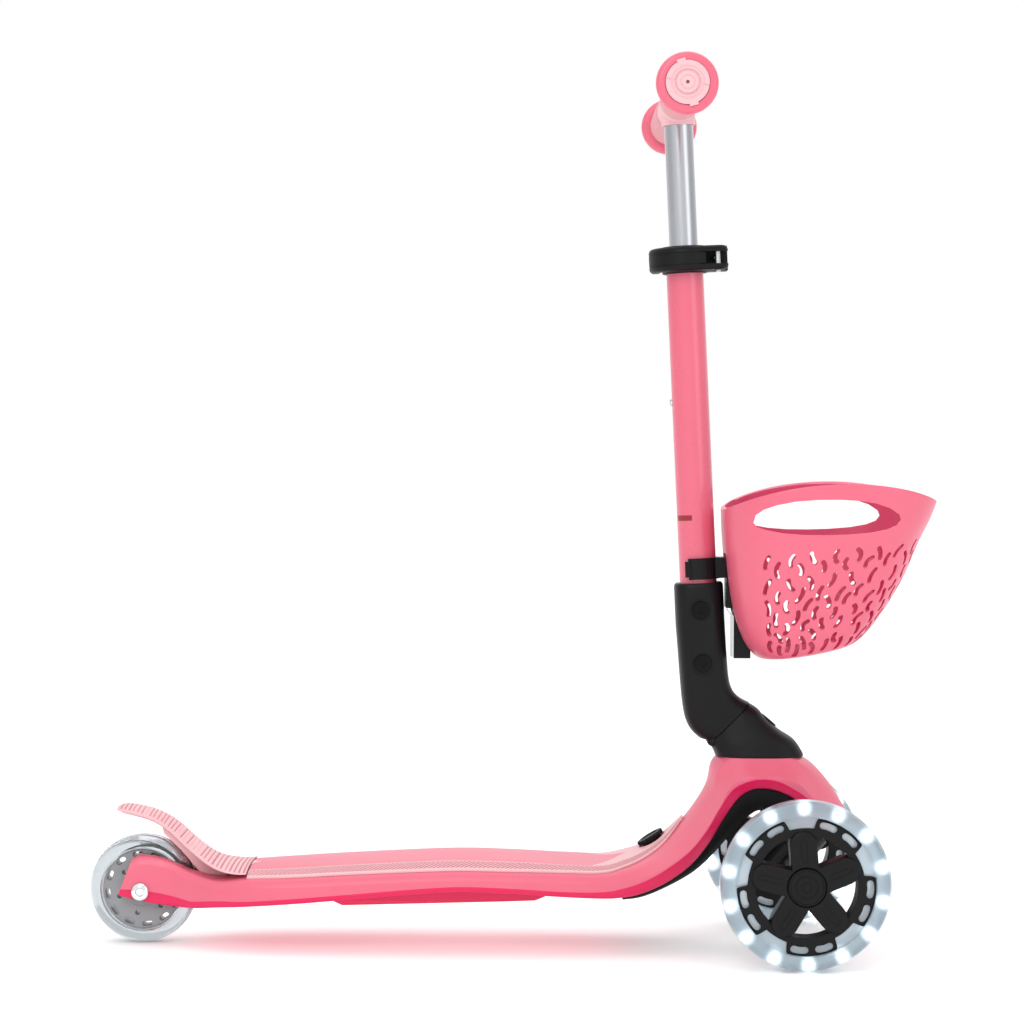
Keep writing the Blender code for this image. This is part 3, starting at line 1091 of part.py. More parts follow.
def basket_levels(wall):
    """Sections of the basket from its floor to its rim, inset by a wall thickness."""
    z = FRONT_AXLE.z
    floor, rim = z + BASKET_FLOOR_UP, z + BASKET_RIM_UP
    half, rear, length = BASKET_HALF_WIDTH, BASKET_REAR, BASKET_LENGTH
    levels = [  # rear x, rear z, front x, front z, half-width
        (rear + 0.0370, floor + 0.0010, rear + 0.0780, floor + 0.0075, half - 0.036),
        (rear + 0.0260, floor + 0.0020, rear + 0.0960, floor + 0.0130, half - 0.028),
        (rear + 0.0165, floor + 0.0120, rear + 0.1090, floor + 0.0250, half - 0.022),
        (rear + 0.0095, floor + 0.0290, rear + 0.1220, floor + 0.0440, half - 0.015),
        (rear + 0.0050, floor + 0.0500, rear + 0.1330, floor + 0.0640, half - 0.009),
        (rear + 0.0022, floor + 0.0740, rear + 0.1430, floor + 0.0880, half - 0.004),
        (rear + 0.0005, floor + 0.0950, rear + 0.1510, floor + 0.1040, half - 0.001),
        (rear, rim, rear + length, rim + 0.0060, half),
    ]
    if not wall:
        return levels
    inner = [(a + wall, b, c - wall, d, h - wall) for a, b, c, d, h in levels[1:]]
    first = levels[0]
    inner.insert(0, (first[0], first[1] + wall, first[2], first[3] + wall, first[4] - wall))
    inner[1] = (inner[1][0], inner[1][1] + wall * 0.8, inner[1][2], inner[1][3] + wall * 0.8,
                inner[1][4])
    return inner


RIM_ARCH = 0.0170


def basket_rings(wall, extra):
    """Rings of the basket; the rim arches up over both handles."""
    rings = []
    levels = basket_levels(wall)
    for index, (rx, rz, fx, fz, half) in enumerate(levels):
        lift = RIM_ARCH if index == len(levels) - 1 else 0
        lift += 0.006 if index == len(levels) - 2 else 0
        more = extra if index == len(levels) - 1 else 0
        ring = []
        for x, y in superellipse(32, 1, 1, 2.9):
            middle = Vector(((rx + fx) / 2, 0, (rz + fz) / 2))
            along = Vector(((fx - rx) / 2, 0, (fz - rz) / 2))
            arch = lift * (1 - x * x) ** 0.8
            ring.append(middle + along * x + Vector((0, y * half, arch + more)))
        rings.append(ring)
    return rings


def make_basket(column):
    """One moulded basket with a pocket behind, two handle slots and an open top."""
    origin = COLUMN.inverted() @ (FRONT_AXLE + Vector((0, 0, 0.2)))

    def local(mesh):
        in_column(mesh).transform(Matrix.Translation(-origin))
        return mesh

    z = FRONT_AXLE.z
    basket = add("basket", local(loft_mesh("shell", basket_rings(0, 0))), "coral_plastic",
                 column, origin)
    cut(basket, local(loft_mesh("inside", basket_rings(BASKET_WALL, 0.02))))
    wall = BASKET_WALL
    pocket_top = z + 0.2300
    outer = box_mesh("pocket_wall", (CHANNEL_FRONT - 0.012, -CHANNEL_HALF - wall, z + 0.1600),
                     (CHANNEL_FRONT + wall, CHANNEL_HALF + wall, pocket_top + wall))
    room = box_mesh("pocket_room", (BASKET_REAR - 0.02, -CHANNEL_HALF, z + 0.1400),
                    (CHANNEL_FRONT, CHANNEL_HALF, pocket_top))
    join(basket, local(outer))
    cut(basket, local(room))
    slot = [(BASKET_REAR + 0.0190, z + 0.2540)]
    slot += [(BASKET_REAR + 0.0260, z + 0.2625), (BASKET_REAR + 0.0480, z + 0.2685),
             (BASKET_REAR + 0.0800, z + 0.2710), (BASKET_REAR + 0.1050, z + 0.2690),
             (BASKET_REAR + 0.1200, z + 0.2620), (BASKET_REAR + 0.1240, z + 0.2555),
             (BASKET_REAR + 0.1160, z + 0.2500), (BASKET_REAR + 0.0950, z + 0.2465),
             (BASKET_REAR + 0.0600, z + 0.2455), (BASKET_REAR + 0.0300, z + 0.2475)]
    handles = side_outline_mesh("handle_slots", slot, BASKET_HALF_WIDTH + 0.01)
    cut(basket, local(handles))


def make_bracket(column):
    """Clip round the outer tube with the tongue that the basket slides onto."""
    low, high = CLIP_BOTTOM, CLIP_BOTTOM + CLIP_HEIGHT
    inner, outer = OUTER_TUBE_RADIUS + GAP, OUTER_TUBE_RADIUS + 0.0030
    bracket = add("basket_bracket", rod_mesh("clip", outer, (0, 0, low), (0, 0, high), 36),
                  "black_plastic", column)
    tongue = box_mesh("tongue", FRONT_AXLE + Vector((-0.0508, -BRACKET_HALF_WIDTH, 0.1900)),
                      FRONT_AXLE + Vector((-0.0330, BRACKET_HALF_WIDTH, 0.2260)))
    lower = box_mesh("lower", FRONT_AXLE + Vector((-0.0450, -BRACKET_HALF_WIDTH + 0.002, 0.1530)),
                     FRONT_AXLE + Vector((-0.0330, BRACKET_HALF_WIDTH - 0.002, 0.1960)))
    arm = box_mesh("arm", (0.008, -0.011, low + 0.0003), (0.030, 0.011, high - 0.0003))
    join(bracket, arm, in_column(tongue), in_column(lower))
    cut(bracket, rod_mesh("tube_room", inner, (0, 0, -0.02), (0, 0, high + 0.05), 40),
        box_mesh("mouth", (-0.03, -0.0200, low - 0.01), (-0.0075, 0.0200, high + 0.01)))
    for side in (-1, 1):
        join(bracket, box_mesh("lip", (-0.0100, side * 0.0145 - 0.0018, low + 0.002),
                               (-0.0060, side * 0.0145 + 0.0018, high - 0.002)))
    plate = [(-0.0453, 0.1540), (-0.0453, 0.1840), (-0.0497, 0.1890), (-0.0497, 0.1880),
             (-0.0468, 0.1835), (-0.0468, 0.1540)]
    points = [(FRONT_AXLE.x + x, FRONT_AXLE.z + z) for x, z in plate]
    add("bracket_plate", in_column(side_outline_mesh("plate", points, BRACKET_HALF_WIDTH - 0.003)),
        "steel", column)


# ---------------------------------------------------------------- assembly
def make_scooter():
    make_deck()
    make_tread()
    make_lock_button()
    make_underside()
    make_undercover()
    make_column_base()
    make_fold_button()
    make_rear_wheel()
    make_brake()
    make_truck()
    fold = empty("fold_axis", FOLD_PIVOT)
    column = empty("column_frame", COLUMN_FOOT - FOLD_PIVOT, fold, (0, -COLUMN_TILT, 0))
    bpy.context.view_layer.update()
    make_sleeve(column)
    make_sleeve_bolts(column)
    make_outer_tube(column)
    make_spring_button(column)
    make_clamp(column)
    make_clamp_lever(column)
    make_bar(column)
    make_bracket(column)
    make_basket(column)


make_scooter()
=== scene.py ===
"""Child's three-wheeled kick scooter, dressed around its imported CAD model.

Lengths in the tables are millimetres; every mesh is made in metres, in the part's own frame:
+X forward, +Y to the rider's left, +Z up, with the ground at zero.
"""
import math
import random

import bmesh
import bpy
from mathutils import Matrix, Vector


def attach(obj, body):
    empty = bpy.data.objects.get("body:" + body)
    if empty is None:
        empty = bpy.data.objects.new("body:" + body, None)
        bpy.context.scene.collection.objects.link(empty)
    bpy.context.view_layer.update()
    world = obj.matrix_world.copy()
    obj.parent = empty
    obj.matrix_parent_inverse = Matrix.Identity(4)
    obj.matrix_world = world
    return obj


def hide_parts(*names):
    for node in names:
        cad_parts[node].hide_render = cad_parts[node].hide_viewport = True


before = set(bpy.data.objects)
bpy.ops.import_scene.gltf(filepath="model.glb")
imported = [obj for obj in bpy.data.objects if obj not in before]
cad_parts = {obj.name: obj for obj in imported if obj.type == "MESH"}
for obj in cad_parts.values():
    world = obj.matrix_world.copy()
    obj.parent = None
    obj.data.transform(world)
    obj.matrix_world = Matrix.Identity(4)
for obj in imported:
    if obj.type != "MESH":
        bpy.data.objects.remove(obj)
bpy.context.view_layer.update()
MM = 0.001

REAR_AXLE = Vector((-271, 0, 40)) * MM
FRONT_AXLE = Vector((210, 0, 60.5)) * MM
HALF_TRACK = 100 * MM
COLUMN_TILT = math.radians(2.8)
COLUMN = Matrix.Translation(Vector((144.8, 0, 152)) * MM) @ Matrix.Rotation(-COLUMN_TILT, 4, "Y")
LOCK = Matrix.Translation(Vector((106.5, 0, 76.5)) * MM) @ Matrix.Rotation(
    -math.radians(32), 4, "Y")
FOLD_PIVOT = Vector((149.3, 0, 152.4)) * MM
JOINT_SLOPE = math.radians(44.5)
REAR_PLACE = Matrix.Translation(REAR_AXLE)
WHOLE_TURN = math.radians(360)
DIODES = 14                     # in each front wheel, on a ring of this radius
DIODE_RING = 55.0
FIRST_DIODE = 92                # degrees, seen from outside
SQUARE = 2.9                    # how square the folding joint and the basket are in section
TUBE_RADIUS = 13.65
BOLT_BORE = 3.3                 # radius, in the folding joint
BUTTON_UP = 250.3               # the spring button, along the column
CLAMP_UP = 354.5                # the middle of the clamp, along the column
TREAD_PITCH = 3.3               # between the grooves of the pad and of the brake


# ---------------------------------------------------------------- finishes
def linear(code):
    """A colour given as sRGB hex, as the linear values that a shader takes."""
    parts = [int(code[i:i + 2], 16) / 255 for i in (1, 3, 5)]
    return tuple(c / 12.92 if c <= 0.04045 else ((c + 0.055) / 1.055) ** 2.4 for c in parts) + (1,)


def add_node(tree, kind, settings=None, links=None):
    """A shader node with its settings, and its inputs linked from other nodes' outputs."""
    item = tree.nodes.new(kind)
    for key, value in (settings or {}).items():
        if isinstance(key, int) or key in item.inputs:
            item.inputs[key].default_value = value
        else:
            setattr(item, key, value)
    for key, source in (links or {}).items():
        tree.links.new(source, item.inputs[key])
    return item


def finish(name, **shader_settings):
    """A material with its shader's own sockets set; a colour is given as sRGB hex."""
    material = bpy.data.materials.new(name)
    material.use_nodes = True
    shader = material.node_tree.nodes["Principled BSDF"]
    for key, value in shader_settings.items():
        socket = shader.inputs[key.replace("_", " ")]
        socket.default_value = linear(value) if isinstance(value, str) else value
    return material, material.node_tree, shader


def moulded(name, colour, deeper, roughness, grain_mm, depth_mm, **more):
    """Injection-moulded plastic: even colour with faint flow clouds and a spark-eroded grain."""
    material, tree, shader = finish(name, Roughness=roughness, IOR=1.49, **more)
    place = add_node(tree, "ShaderNodeTexCoord")
    flow = add_node(tree, "ShaderNodeTexNoise", {"Scale": 1 / (45 * MM), "Detail": 2.0},
                    {"Vector": place.outputs["Object"]})
    tint = add_node(tree, "ShaderNodeMix",
                    {"data_type": "RGBA", 6: linear(colour), 7: linear(deeper)},
                    {"Factor": flow.outputs["Fac"]})
    tree.links.new(tint.outputs[2], shader.inputs["Base Color"])
    grain = add_node(tree, "ShaderNodeTexNoise", {"Scale": 1 / (grain_mm * MM), "Detail": 3.0},
                     {"Vector": place.outputs["Object"]})
    rough = add_node(tree, "ShaderNodeMapRange",
                     {"To Min": roughness - 0.05, "To Max": roughness + 0.07},
                     {"Value": grain.outputs["Fac"]})
    tree.links.new(rough.outputs["Result"], shader.inputs["Roughness"])
    bump = add_node(tree, "ShaderNodeBump", {"Strength": 0.35, "Distance": depth_mm * MM},
                    {"Height": grain.outputs["Fac"]})
    tree.links.new(bump.outputs["Normal"], shader.inputs["Normal"])
    return material


def metal(name, colour, roughness, streak_mm, along):
    """Bare or plated metal with fine drawing or turning marks along one direction."""
    material, tree, shader = finish(name, Metallic=1.0, Roughness=roughness, Base_Color=colour)
    place = add_node(tree, "ShaderNodeTexCoord")
    stretch = add_node(tree, "ShaderNodeMapping", {"Scale": along},
                       {"Vector": place.outputs["Object"]})
    marks = add_node(tree, "ShaderNodeTexNoise", {"Scale": 1 / (streak_mm * MM), "Detail": 4.0},
                     {"Vector": stretch.outputs["Vector"]})
    rough = add_node(tree, "ShaderNodeMapRange",
                     {"To Min": roughness - 0.04, "To Max": roughness + 0.08},
                     {"Value": marks.outputs["Fac"]})
    tree.links.new(rough.outputs["Result"], shader.inputs["Roughness"])
    bump = add_node(tree, "ShaderNodeBump", {"Strength": 0.15, "Distance": 0.02 * MM},
                    {"Height": marks.outputs["Fac"]})
    tree.links.new(bump.outputs["Normal"], shader.inputs["Normal"])
    return material


def cast_urethane(name, colour, roughness):
    """Clear cast polyurethane: glassy, slightly cool, with faint waves left by the mould."""
    material, tree, shader = finish(name, Roughness=roughness, IOR=1.40, Base_Color=colour,
                                    Transmission_Weight=0.94)
    place = add_node(tree, "ShaderNodeTexCoord")
    waves = add_node(tree, "ShaderNodeTexNoise", {"Scale": 1 / (14 * MM), "Detail": 1.0},
                     {"Vector": place.outputs["Object"]})
    bump = add_node(tree, "ShaderNodeBump", {"Strength": 0.2, "Distance": 0.3 * MM},
                    {"Height": waves.outputs["Fac"]})
    tree.links.new(bump.outputs["Normal"], shader.inputs["Normal"])
    return material


def light_guide(name, centre, first_degrees):
    """Frosted urethane round the diodes: bright at each of them, dim and cool between."""
    material, tree, shader = finish(name, Roughness=0.30, IOR=1.40, Transmission_Weight=0.55,
                                    Base_Color="#B7C3CB", Emission_Color="#EAF3FA")
    place = add_node(tree, "ShaderNodeTexCoord")
    spoke = add_node(tree, "ShaderNodeVectorMath", {"operation": "SUBTRACT", 1: centre},
                     {0: place.outputs["Object"]})
    parts = add_node(tree, "ShaderNodeSeparateXYZ", None, {0: spoke.outputs[0]})
    angle = add_node(tree, "ShaderNodeMath", {"operation": "ARCTAN2"},
                     {0: parts.outputs["Z"], 1: parts.outputs["X"]})
    lobes = add_node(tree, "ShaderNodeMath",
                     {"operation": "MULTIPLY_ADD", 1: DIODES,
                      2: -math.radians(first_degrees * DIODES)},
                     {0: angle.outputs[0]})
    wave = add_node(tree, "ShaderNodeMath", {"operation": "COSINE"}, {0: lobes.outputs[0]})
    glow = add_node(tree, "ShaderNodeMapRange", {"From Min": -0.3}, {"Value": wave.outputs[0]})
    sharp = add_node(tree, "ShaderNodeMath", {"operation": "POWER", 1: 2.0},
                     {0: glow.outputs["Result"]})
    flat = add_node(tree, "ShaderNodeVectorMath", {"operation": "MULTIPLY", 1: (1, 0, 1)},
                    {0: spoke.outputs[0]})
    reach = add_node(tree, "ShaderNodeVectorMath", {"operation": "LENGTH"}, {0: flat.outputs[0]})
    off = add_node(tree, "ShaderNodeMath", {"operation": "SUBTRACT", 1: DIODE_RING * MM},
                   {0: reach.outputs["Value"]})
    away = add_node(tree, "ShaderNodeMath", {"operation": "ABSOLUTE"}, {0: off.outputs[0]})
    band = add_node(tree, "ShaderNodeMapRange", {"From Max": 5.4 * MM, "To Min": 1.0,
                                                 "To Max": 0.0}, {"Value": away.outputs[0]})
    spot = add_node(tree, "ShaderNodeMath", {"operation": "MULTIPLY"},
                    {0: sharp.outputs[0], 1: band.outputs["Result"]})
    power = add_node(tree, "ShaderNodeMath", {"operation": "MULTIPLY_ADD", 1: 1.9, 2: 0.06},
                     {0: spot.outputs[0]})
    tree.links.new(power.outputs[0], shader.inputs["Emission Strength"])
    return material


# Polypropylene deck and basket: satin, warm pink, a grain about a third of a millimetre wide.
CORAL = moulded("satin_coral_polypropylene", "#D9637A", "#D55E75", 0.36, 0.35, 0.012)
# The same plastic where it turns under, in the fork recesses and on the underside panel: painted
# shade, the coral darker and richer where less light reaches it.
CORAL_PAINTED_SHADE = moulded("coral_polypropylene_painted_shade", "#D90452", "#D3044E", 0.38, 0.35, 0.012)
# The basket's unpolished inner face and the walls of its slots, in painted shade: the coral deeper
# because little light reaches it.
CORAL_INNER_SHADE = moulded("coral_polypropylene_inner_painted_shade", "#CC3A63", "#C7355E", 0.50, 0.45, 0.015)
# Soft-touch elastomer of the pad, brake and grips: paler and duller.
BLUSH = moulded("blush_thermoplastic_rubber", "#DFB0B4", "#DCAAAF", 0.50, 0.30, 0.015)
# Painted shade in the grooves of the pad and the brake: the same rubber, darker where the grooves
# fall in shade.
BLUSH_GROOVE_SHADE = moulded("blush_rubber_painted_groove_shade", "#BE727E", "#BA6C78", 0.60, 0.30, 0.015)
GRIP = moulded("rose_grip_rubber", "#D9989F", "#D5929A", 0.55, 0.30, 0.015)
# Glass-filled nylon of the folding joint, clamp and wheel cores: a dry black with a fine grain.
BLACK = moulded("black_glass_filled_nylon", "#0D0D0F", "#0B0B0D", 0.44, 0.28, 0.015,
                 Specular_IOR_Level=0.2)
BLACK_FINE = moulded("black_polypropylene", "#0B0B0D", "#0A0A0B", 0.46, 0.40, 0.010,
                      Specular_IOR_Level=0.2)
GREY = moulded("smoke_grey_polycarbonate", "#8C8F92", "#83868A", 0.30, 0.40, 0.006)
# Powder-coated steel tube: a clear gloss over pink with very slight orange peel.
PAINT = moulded("coral_powder_coat", "#D65F76", "#D25A71", 0.26, 0.40, 0.003, Coat_Weight=0.5,
                Coat_Roughness=0.12)
MARK_RED = moulded("dark_red_print", "#8E1C24", "#871820", 0.40, 0.50, 0.004)
ALUMINIUM = metal("satin_anodised_aluminium", "#B9BBC0", 0.22, 0.5, (1.0, 1.0, 0.02))
STEEL = metal("zinc_plated_steel", "#C9CACD", 0.26, 0.6, (1.0, 1.0, 1.0))
CHROME = metal("bright_chromed_steel", "#E6E7EA", 0.09, 0.8, (1.0, 1.0, 1.0))
RUBBER = moulded("black_bush_rubber", "#141414", "#101010", 0.80, 0.50, 0.030)
CLEAR = cast_urethane("clear_cast_urethane", "#E3ECF0", 0.10)
CLEAR_REAR = cast_urethane("clear_cast_urethane_rear", "#BFC6CA", 0.08)
# Black oxide under a lacquer: the bolt heads catch a sharp light that the nylon doesn't.
BLACK_GLOSS = moulded("lacquered_black_oxide", "#050506", "#040405", 0.18, 0.50, 0.002,
                       Specular_IOR_Level=0.15)
BLACK_STEEL = metal("blackened_steel", "#2B2B2D", 0.35, 0.6, (1.0, 1.0, 1.0))
GLOW = finish("white_led_glow", Roughness=0.4, Base_Color="#FFFFFF", Emission_Color="#F4FAFF",
              Emission_Strength=5.0)[0]


# ---------------------------------------------------------------- mesh tools
def mesh_from(bm, name):
    """The mesh of a finished build, with its faces turned outwards."""
    bmesh.ops.recalc_face_normals(bm, faces=bm.faces)
    mesh = bpy.data.meshes.new(name)
    bm.to_mesh(mesh)
    bm.free()
    return mesh


def new_object(name, mesh, materials=()):
    """An object with its mesh; materials given here keep their faces through later cuts."""
    for material in materials:
        mesh.materials.append(material)
    item = bpy.data.objects.new(name, mesh)
    bpy.context.scene.collection.objects.link(item)
    return item


def settled(item):
    """The object with its modifiers applied."""
    graph = bpy.context.evaluated_depsgraph_get()
    mesh = bpy.data.meshes.new_from_object(item.evaluated_get(graph))
    item.modifiers.clear()
    item.data = mesh
    return item


def shape(item, tools, operation):
    """Cuts or joins other meshes, one after another, and applies the result."""
    for mesh in tools:
        tool = new_object("tool", mesh)
        modifier = item.modifiers.new("shape", "BOOLEAN")
        modifier.operation = operation
        modifier.solver = "EXACT"
        modifier.object = tool
        settled(item)
        bpy.data.objects.remove(tool, do_unlink=True)
    return item


def moved(mesh, *places):
    """The mesh, carried through one place after another."""
    for place in places:
        mesh.transform(place)
    return mesh


def second_tone(mesh):
    """Gives every face the second material, which the cut surfaces then keep: here always a painted
    shade, for hollows and the faces inside them.
    """
    for face in mesh.polygons:
        face.material_index = 1
    return mesh


def cut(item, *tools):
    return shape(item, tools, "DIFFERENCE")


def join(item, *tools):
    return shape(item, tools, "UNION")


def soften(item, width_mm, segments, angle):
    """Rounds the edges sharper than an angle, and leaves the modifier in place."""
    modifier = item.modifiers.new("edges", "BEVEL")
    modifier.width = width_mm * MM
    modifier.segments = segments
    modifier.limit_method = "ANGLE"
    modifier.angle_limit = math.radians(angle)


def round_edges(item, width_mm, segments=3, angle=40):
    soften(item, width_mm, segments, angle)
    return settled(item)


def piece(name, item, body, materials, stands_for=(), smooth=38):
    """A finished piece, from a mesh or an object: its materials, its body and its CAD nodes."""
    if not isinstance(item, bpy.types.Object):
        item = new_object(name, item)
    item.name = name
    if not item.data.materials:
        for material in materials:
            item.data.materials.append(material)
    item.data.shade_smooth()
    item.data.set_sharp_from_angle(angle=math.radians(smooth))
    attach(item, body)
    if stands_for:
        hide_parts(*stands_for)
    return item


def loft(name, rings, caps=True, tones=None):
    """Skin over closed rings. tones gives a material index for each side of a ring."""
    bm = bmesh.new()
    rows = [[bm.verts.new(point) for point in ring] for ring in rings]
    count = len(rows[0])
    for first, second in zip(rows, rows[1:]):
        for i in range(count):
            j = (i + 1) % count
            face = bm.faces.new((first[i], first[j], second[j], second[i]))
            if tones:
                face.material_index = tones[i]
    if caps:
        bm.faces.new(rows[0][::-1])
        bm.faces.new(rows[-1])
    return mesh_from(bm, name)


def rod(radius, start, end, segments=48, place=Matrix()):
    """A round bar between two points of a place, in mm."""
    start, end = (place @ (Vector(point) * MM) for point in (start, end))
    along = end - start
    turn = along.to_track_quat("Z", "Y").to_matrix().to_4x4()
    bm = bmesh.new()
    bmesh.ops.create_cone(bm, cap_ends=True, segments=segments, radius1=radius * MM,
                          radius2=radius * MM, depth=along.length,
                          matrix=Matrix.Translation((start + end) / 2) @ turn)
    return mesh_from(bm, "rod")


def block(low, high):
    """A box between two corners, in mm."""
    low, high = Vector(low) * MM, Vector(high) * MM
    bm = bmesh.new()
    bmesh.ops.create_cube(bm, size=1)
    bmesh.ops.scale(bm, vec=high - low, verts=bm.verts)
    bmesh.ops.translate(bm, vec=(low + high) / 2, verts=bm.verts)
    return mesh_from(bm, "block")


def turned(name, profile, place, axis="Y", segments=96):
    """A profile of (radius, along) in mm, turned about Y or about the column's own axis."""
    bm = bmesh.new()
    rows = []
    for i in range(segments):
        a = WHOLE_TURN * i / segments
        row = []
        for r, h in profile:
            x, z = r * MM * math.cos(a), r * MM * math.sin(a)
            point = (x, h * MM, z) if axis == "Y" else (x, z, h * MM)
            row.append(bm.verts.new(place @ Vector(point)))
        rows.append(row)
    count = len(profile)
    for first, second in zip(rows, rows[1:] + rows[:1]):
        for k in range(count):
            j = (k + 1) % count
            bm.faces.new((first[k], first[j], second[j], second[k]))
    bmesh.ops.remove_doubles(bm, verts=bm.verts, dist=1e-6)
    return mesh_from(bm, name)


def plate(name, outlines, thickness_mm, round_mm, place, upright=True):
    """Flat outlines in mm, holes among them, with rounded edges, as thick as given overall.

    They lie in X and Z and are thick along Y; place then moves the plate.
    """
    curve = bpy.data.curves.new(name, "CURVE")
    curve.dimensions = "2D"
    curve.fill_mode = "BOTH"
    curve.extrude = (thickness_mm / 2 - round_mm) * MM
    curve.bevel_depth = round_mm * MM
    curve.bevel_resolution = 2
    curve.offset = -round_mm * MM
    for points in outlines:
        spline = curve.splines.new("POLY")
        spline.points.add(len(points) - 1)
        for point, (x, y) in zip(spline.points, points):
            point.co = (x * MM, y * MM, 0, 1)
        spline.use_cyclic_u = True
    item = new_object(name, curve)
    graph = bpy.context.evaluated_depsgraph_get()
    mesh = bpy.data.meshes.new_from_object(item.evaluated_get(graph))
    bpy.data.objects.remove(item, do_unlink=True)
    bm = bmesh.new()
    bm.from_mesh(mesh)
    bmesh.ops.remove_doubles(bm, verts=bm.verts, dist=2e-6)
    mesh = mesh_from(bm, name)
    if upright:
        moved(mesh, Matrix.Rotation(math.radians(90), 4, "X"))
    return moved(mesh, place)


def at(x, y, z):
    """A shift in mm."""
    return Matrix.Translation(Vector((x, y, z)) * MM)


def arc(radius, start, end, count, centre=(0, 0)):
    """Points round a centre, with both ends given in degrees."""
    steps = [math.radians(start + (end - start) * i / (count - 1)) for i in range(count)]
    return [(centre[0] + radius * math.cos(a), centre[1] + radius * math.sin(a)) for a in steps]


def circle(radius, count=64, centre=(0, 0)):
    return arc(radius, 0, 360 * (count - 1) / count, count, centre)


def capsule(length, width, bend=0.0, count=9):
    """A slot with round ends along X; bend is how far its middle bows aside."""
    half, r = (length - width) / 2, width / 2
    steps = [half * (2 * k / 6 - 1) for k in range(7)]
    spine = [(x, bend * (1 - (x / half) ** 2), math.atan(-2 * bend * x / half ** 2))
             for x in steps]
    points = []
    for way, row in ((-1, spine), (1, spine[::-1])):
        points += [(x - way * r * math.sin(a), y + way * r * math.cos(a)) for x, y, a in row]
        x, y, a = row[-1]
        first = math.degrees(a) + (-90 if way < 0 else 90)
        points += arc(r, first, first + 180, count, (x, y))[1:-1]
    return points


def turned_about(points, angle, centre=(0, 0)):
    """The outline, turned by degrees and moved to a centre."""
    c, s = math.cos(math.radians(angle)), math.sin(math.radians(angle))
    return [(centre[0] + c * x - s * y, centre[1] + s * x + c * y) for x, y in points]


def superellipse(count, power):
    """Points of a rounded square of half-size one; a higher power is squarer."""
    points = []
    for i in range(count):
        a = WHOLE_TURN * i / count
        c, s = math.cos(a), math.sin(a)
        size = (abs(c) ** power + abs(s) ** power) ** (-1 / power)
        points.append((c * size, s * size))
    return points


def between(stations, parts):
    """Catmull-Rom steps between rows of numbers."""
    rows = []
    last = len(stations) - 1
    for i in range(last):
        p0, p1 = stations[max(i - 1, 0)], stations[i]
        p2, p3 = stations[i + 1], stations[min(i + 2, last)]
        for k in range(parts):
            t = k / parts
            rows.append(tuple(
                0.5 * (2 * b + (c - a) * t + (2 * a - 5 * b + 4 * c - d) * t * t
                       + (3 * b - a - 3 * c + d) * t ** 3)
                for a, b, c, d in zip(p0, p1, p2, p3)))
    rows.append(tuple(stations[-1]))
    return rows


# ---------------------------------------------------------------- deck
# Top x and z, lower-edge x and z, half-widths of the top and of the widest line, crown,
# shoulder depth and curve, height and inset of the lower chamfer, share covered by the pad.
DECK_STATIONS = [
    (-277, 64.5, -287.5, 37, 18.5, 22.5, 1, 4, 0.6, 3, 1, 0),
    (-269, 67, -272, 33, 18.5, 22.5, 1, 6, 0.6, 3, 1, 0),
    (-252, 64, -250, 29.5, 19.5, 22.5, 1, 6, 0.6, 4, 1.2, 0),
    (-232, 55.5, -232, 29, 26.5, 30.5, 1, 6, 0.6, 5, 1.5, 0),
    (-212, 51.5, -212, 31.5, 37, 43, 1, 6, 0.6, 5, 2, 0.9),
    (-190, 56.5, -190, 33.5, 45, 51, 3, 6, 0.5, 4, 2, 1),
    (-155, 59, -155, 36.5, 49.5, 55.5, 3.8, 6, 0.5, 4, 2, 1),
    (-115, 61.8, -115, 40, 50, 56, 4.2, 6, 0.5, 4, 2, 1),
    (-44.5, 65.6, -44.5, 45.8, 50, 56, 4.8, 6, 0.5, 4, 2, 1),
    (-0.5, 64.8, -0.5, 45.2, 50, 56, 4.2, 6, 0.5, 4, 2, 1),
    (40, 61.8, 40, 43, 50, 56, 2, 6, 0.5, 4, 2, 0.98),
    (68, 61.2, 68, 42, 49, 55.5, 2, 6, 0.5, 5, 2, 0.95),
    (84, 65, 83, 42.5, 46.5, 54, 3, 7, 0.6, 7, 3, 0.88),
    (100, 71.5, 98, 45.5, 42, 52, 5, 9, 0.7, 9, 4, 0.74),
    (115, 81, 116, 53.3, 36, 50, 7, 9, 0.8, 10.5, 6, 0.53),
    (128.5, 94, 133, 65.5, 30, 47, 8, 10, 0.9, 10, 6, 0.14),
    (138.5, 107.5, 146, 81, 27, 44, 8, 9, 1.0, 9, 6, 0),
    (145.8, 121, 157, 99, 25, 42, 7, 9, 1.1, 8, 6, 0),
    (150.3, 138, 167, 113, 24, 41, 6, 13, 1.2, 8, 5, 0),
    (165, 147, 176, 119, 25, 40.5, 4, 16, 1.2, 7, 5, 0),
    (184, 148, 184, 120.3, 25, 40, 4, 16, 1.2, 7, 5, 0),
    (203, 146, 194, 119, 25, 39.5, 4, 15, 1.2, 7, 5, 0),
    (219, 139, 204, 115, 23, 39, 5, 12, 1.1, 6, 5, 0),
    (230, 129, 213, 109, 22, 38, 6, 11, 1.0, 6, 5, 0),
    (240, 116, 222, 101, 21, 36, 6, 9, 0.9, 5, 5, 0),
    (248, 102, 232, 91, 19, 32, 5, 8, 0.8, 4, 4, 0),
    (254, 87, 242, 80, 13, 22, 4, 5, 0.7, 3, 3, 0),
]
DECK_PARTS = 6
DECK_ROWS = between(DECK_STATIONS, DECK_PARTS)
SLOT_HALF = 14


def station_point(row, y, rise):
    """A point of a deck section, this far aside and this far up from its lower edge."""
    top, low = Vector((row[0], 0, row[1])), Vector((row[2], 0, row[3]))
    return (low + (top - low).normalized() * rise + Vector((0, y, 0))) * MM


def station_height(row):
    return math.hypot(row[0] - row[2], row[1] - row[3])


def top_rise(row, y):
    """Height of the crowned top above the section's lower edge."""
    return station_height(row) - row[6] * min(abs(y) / row[4], 1) ** 2


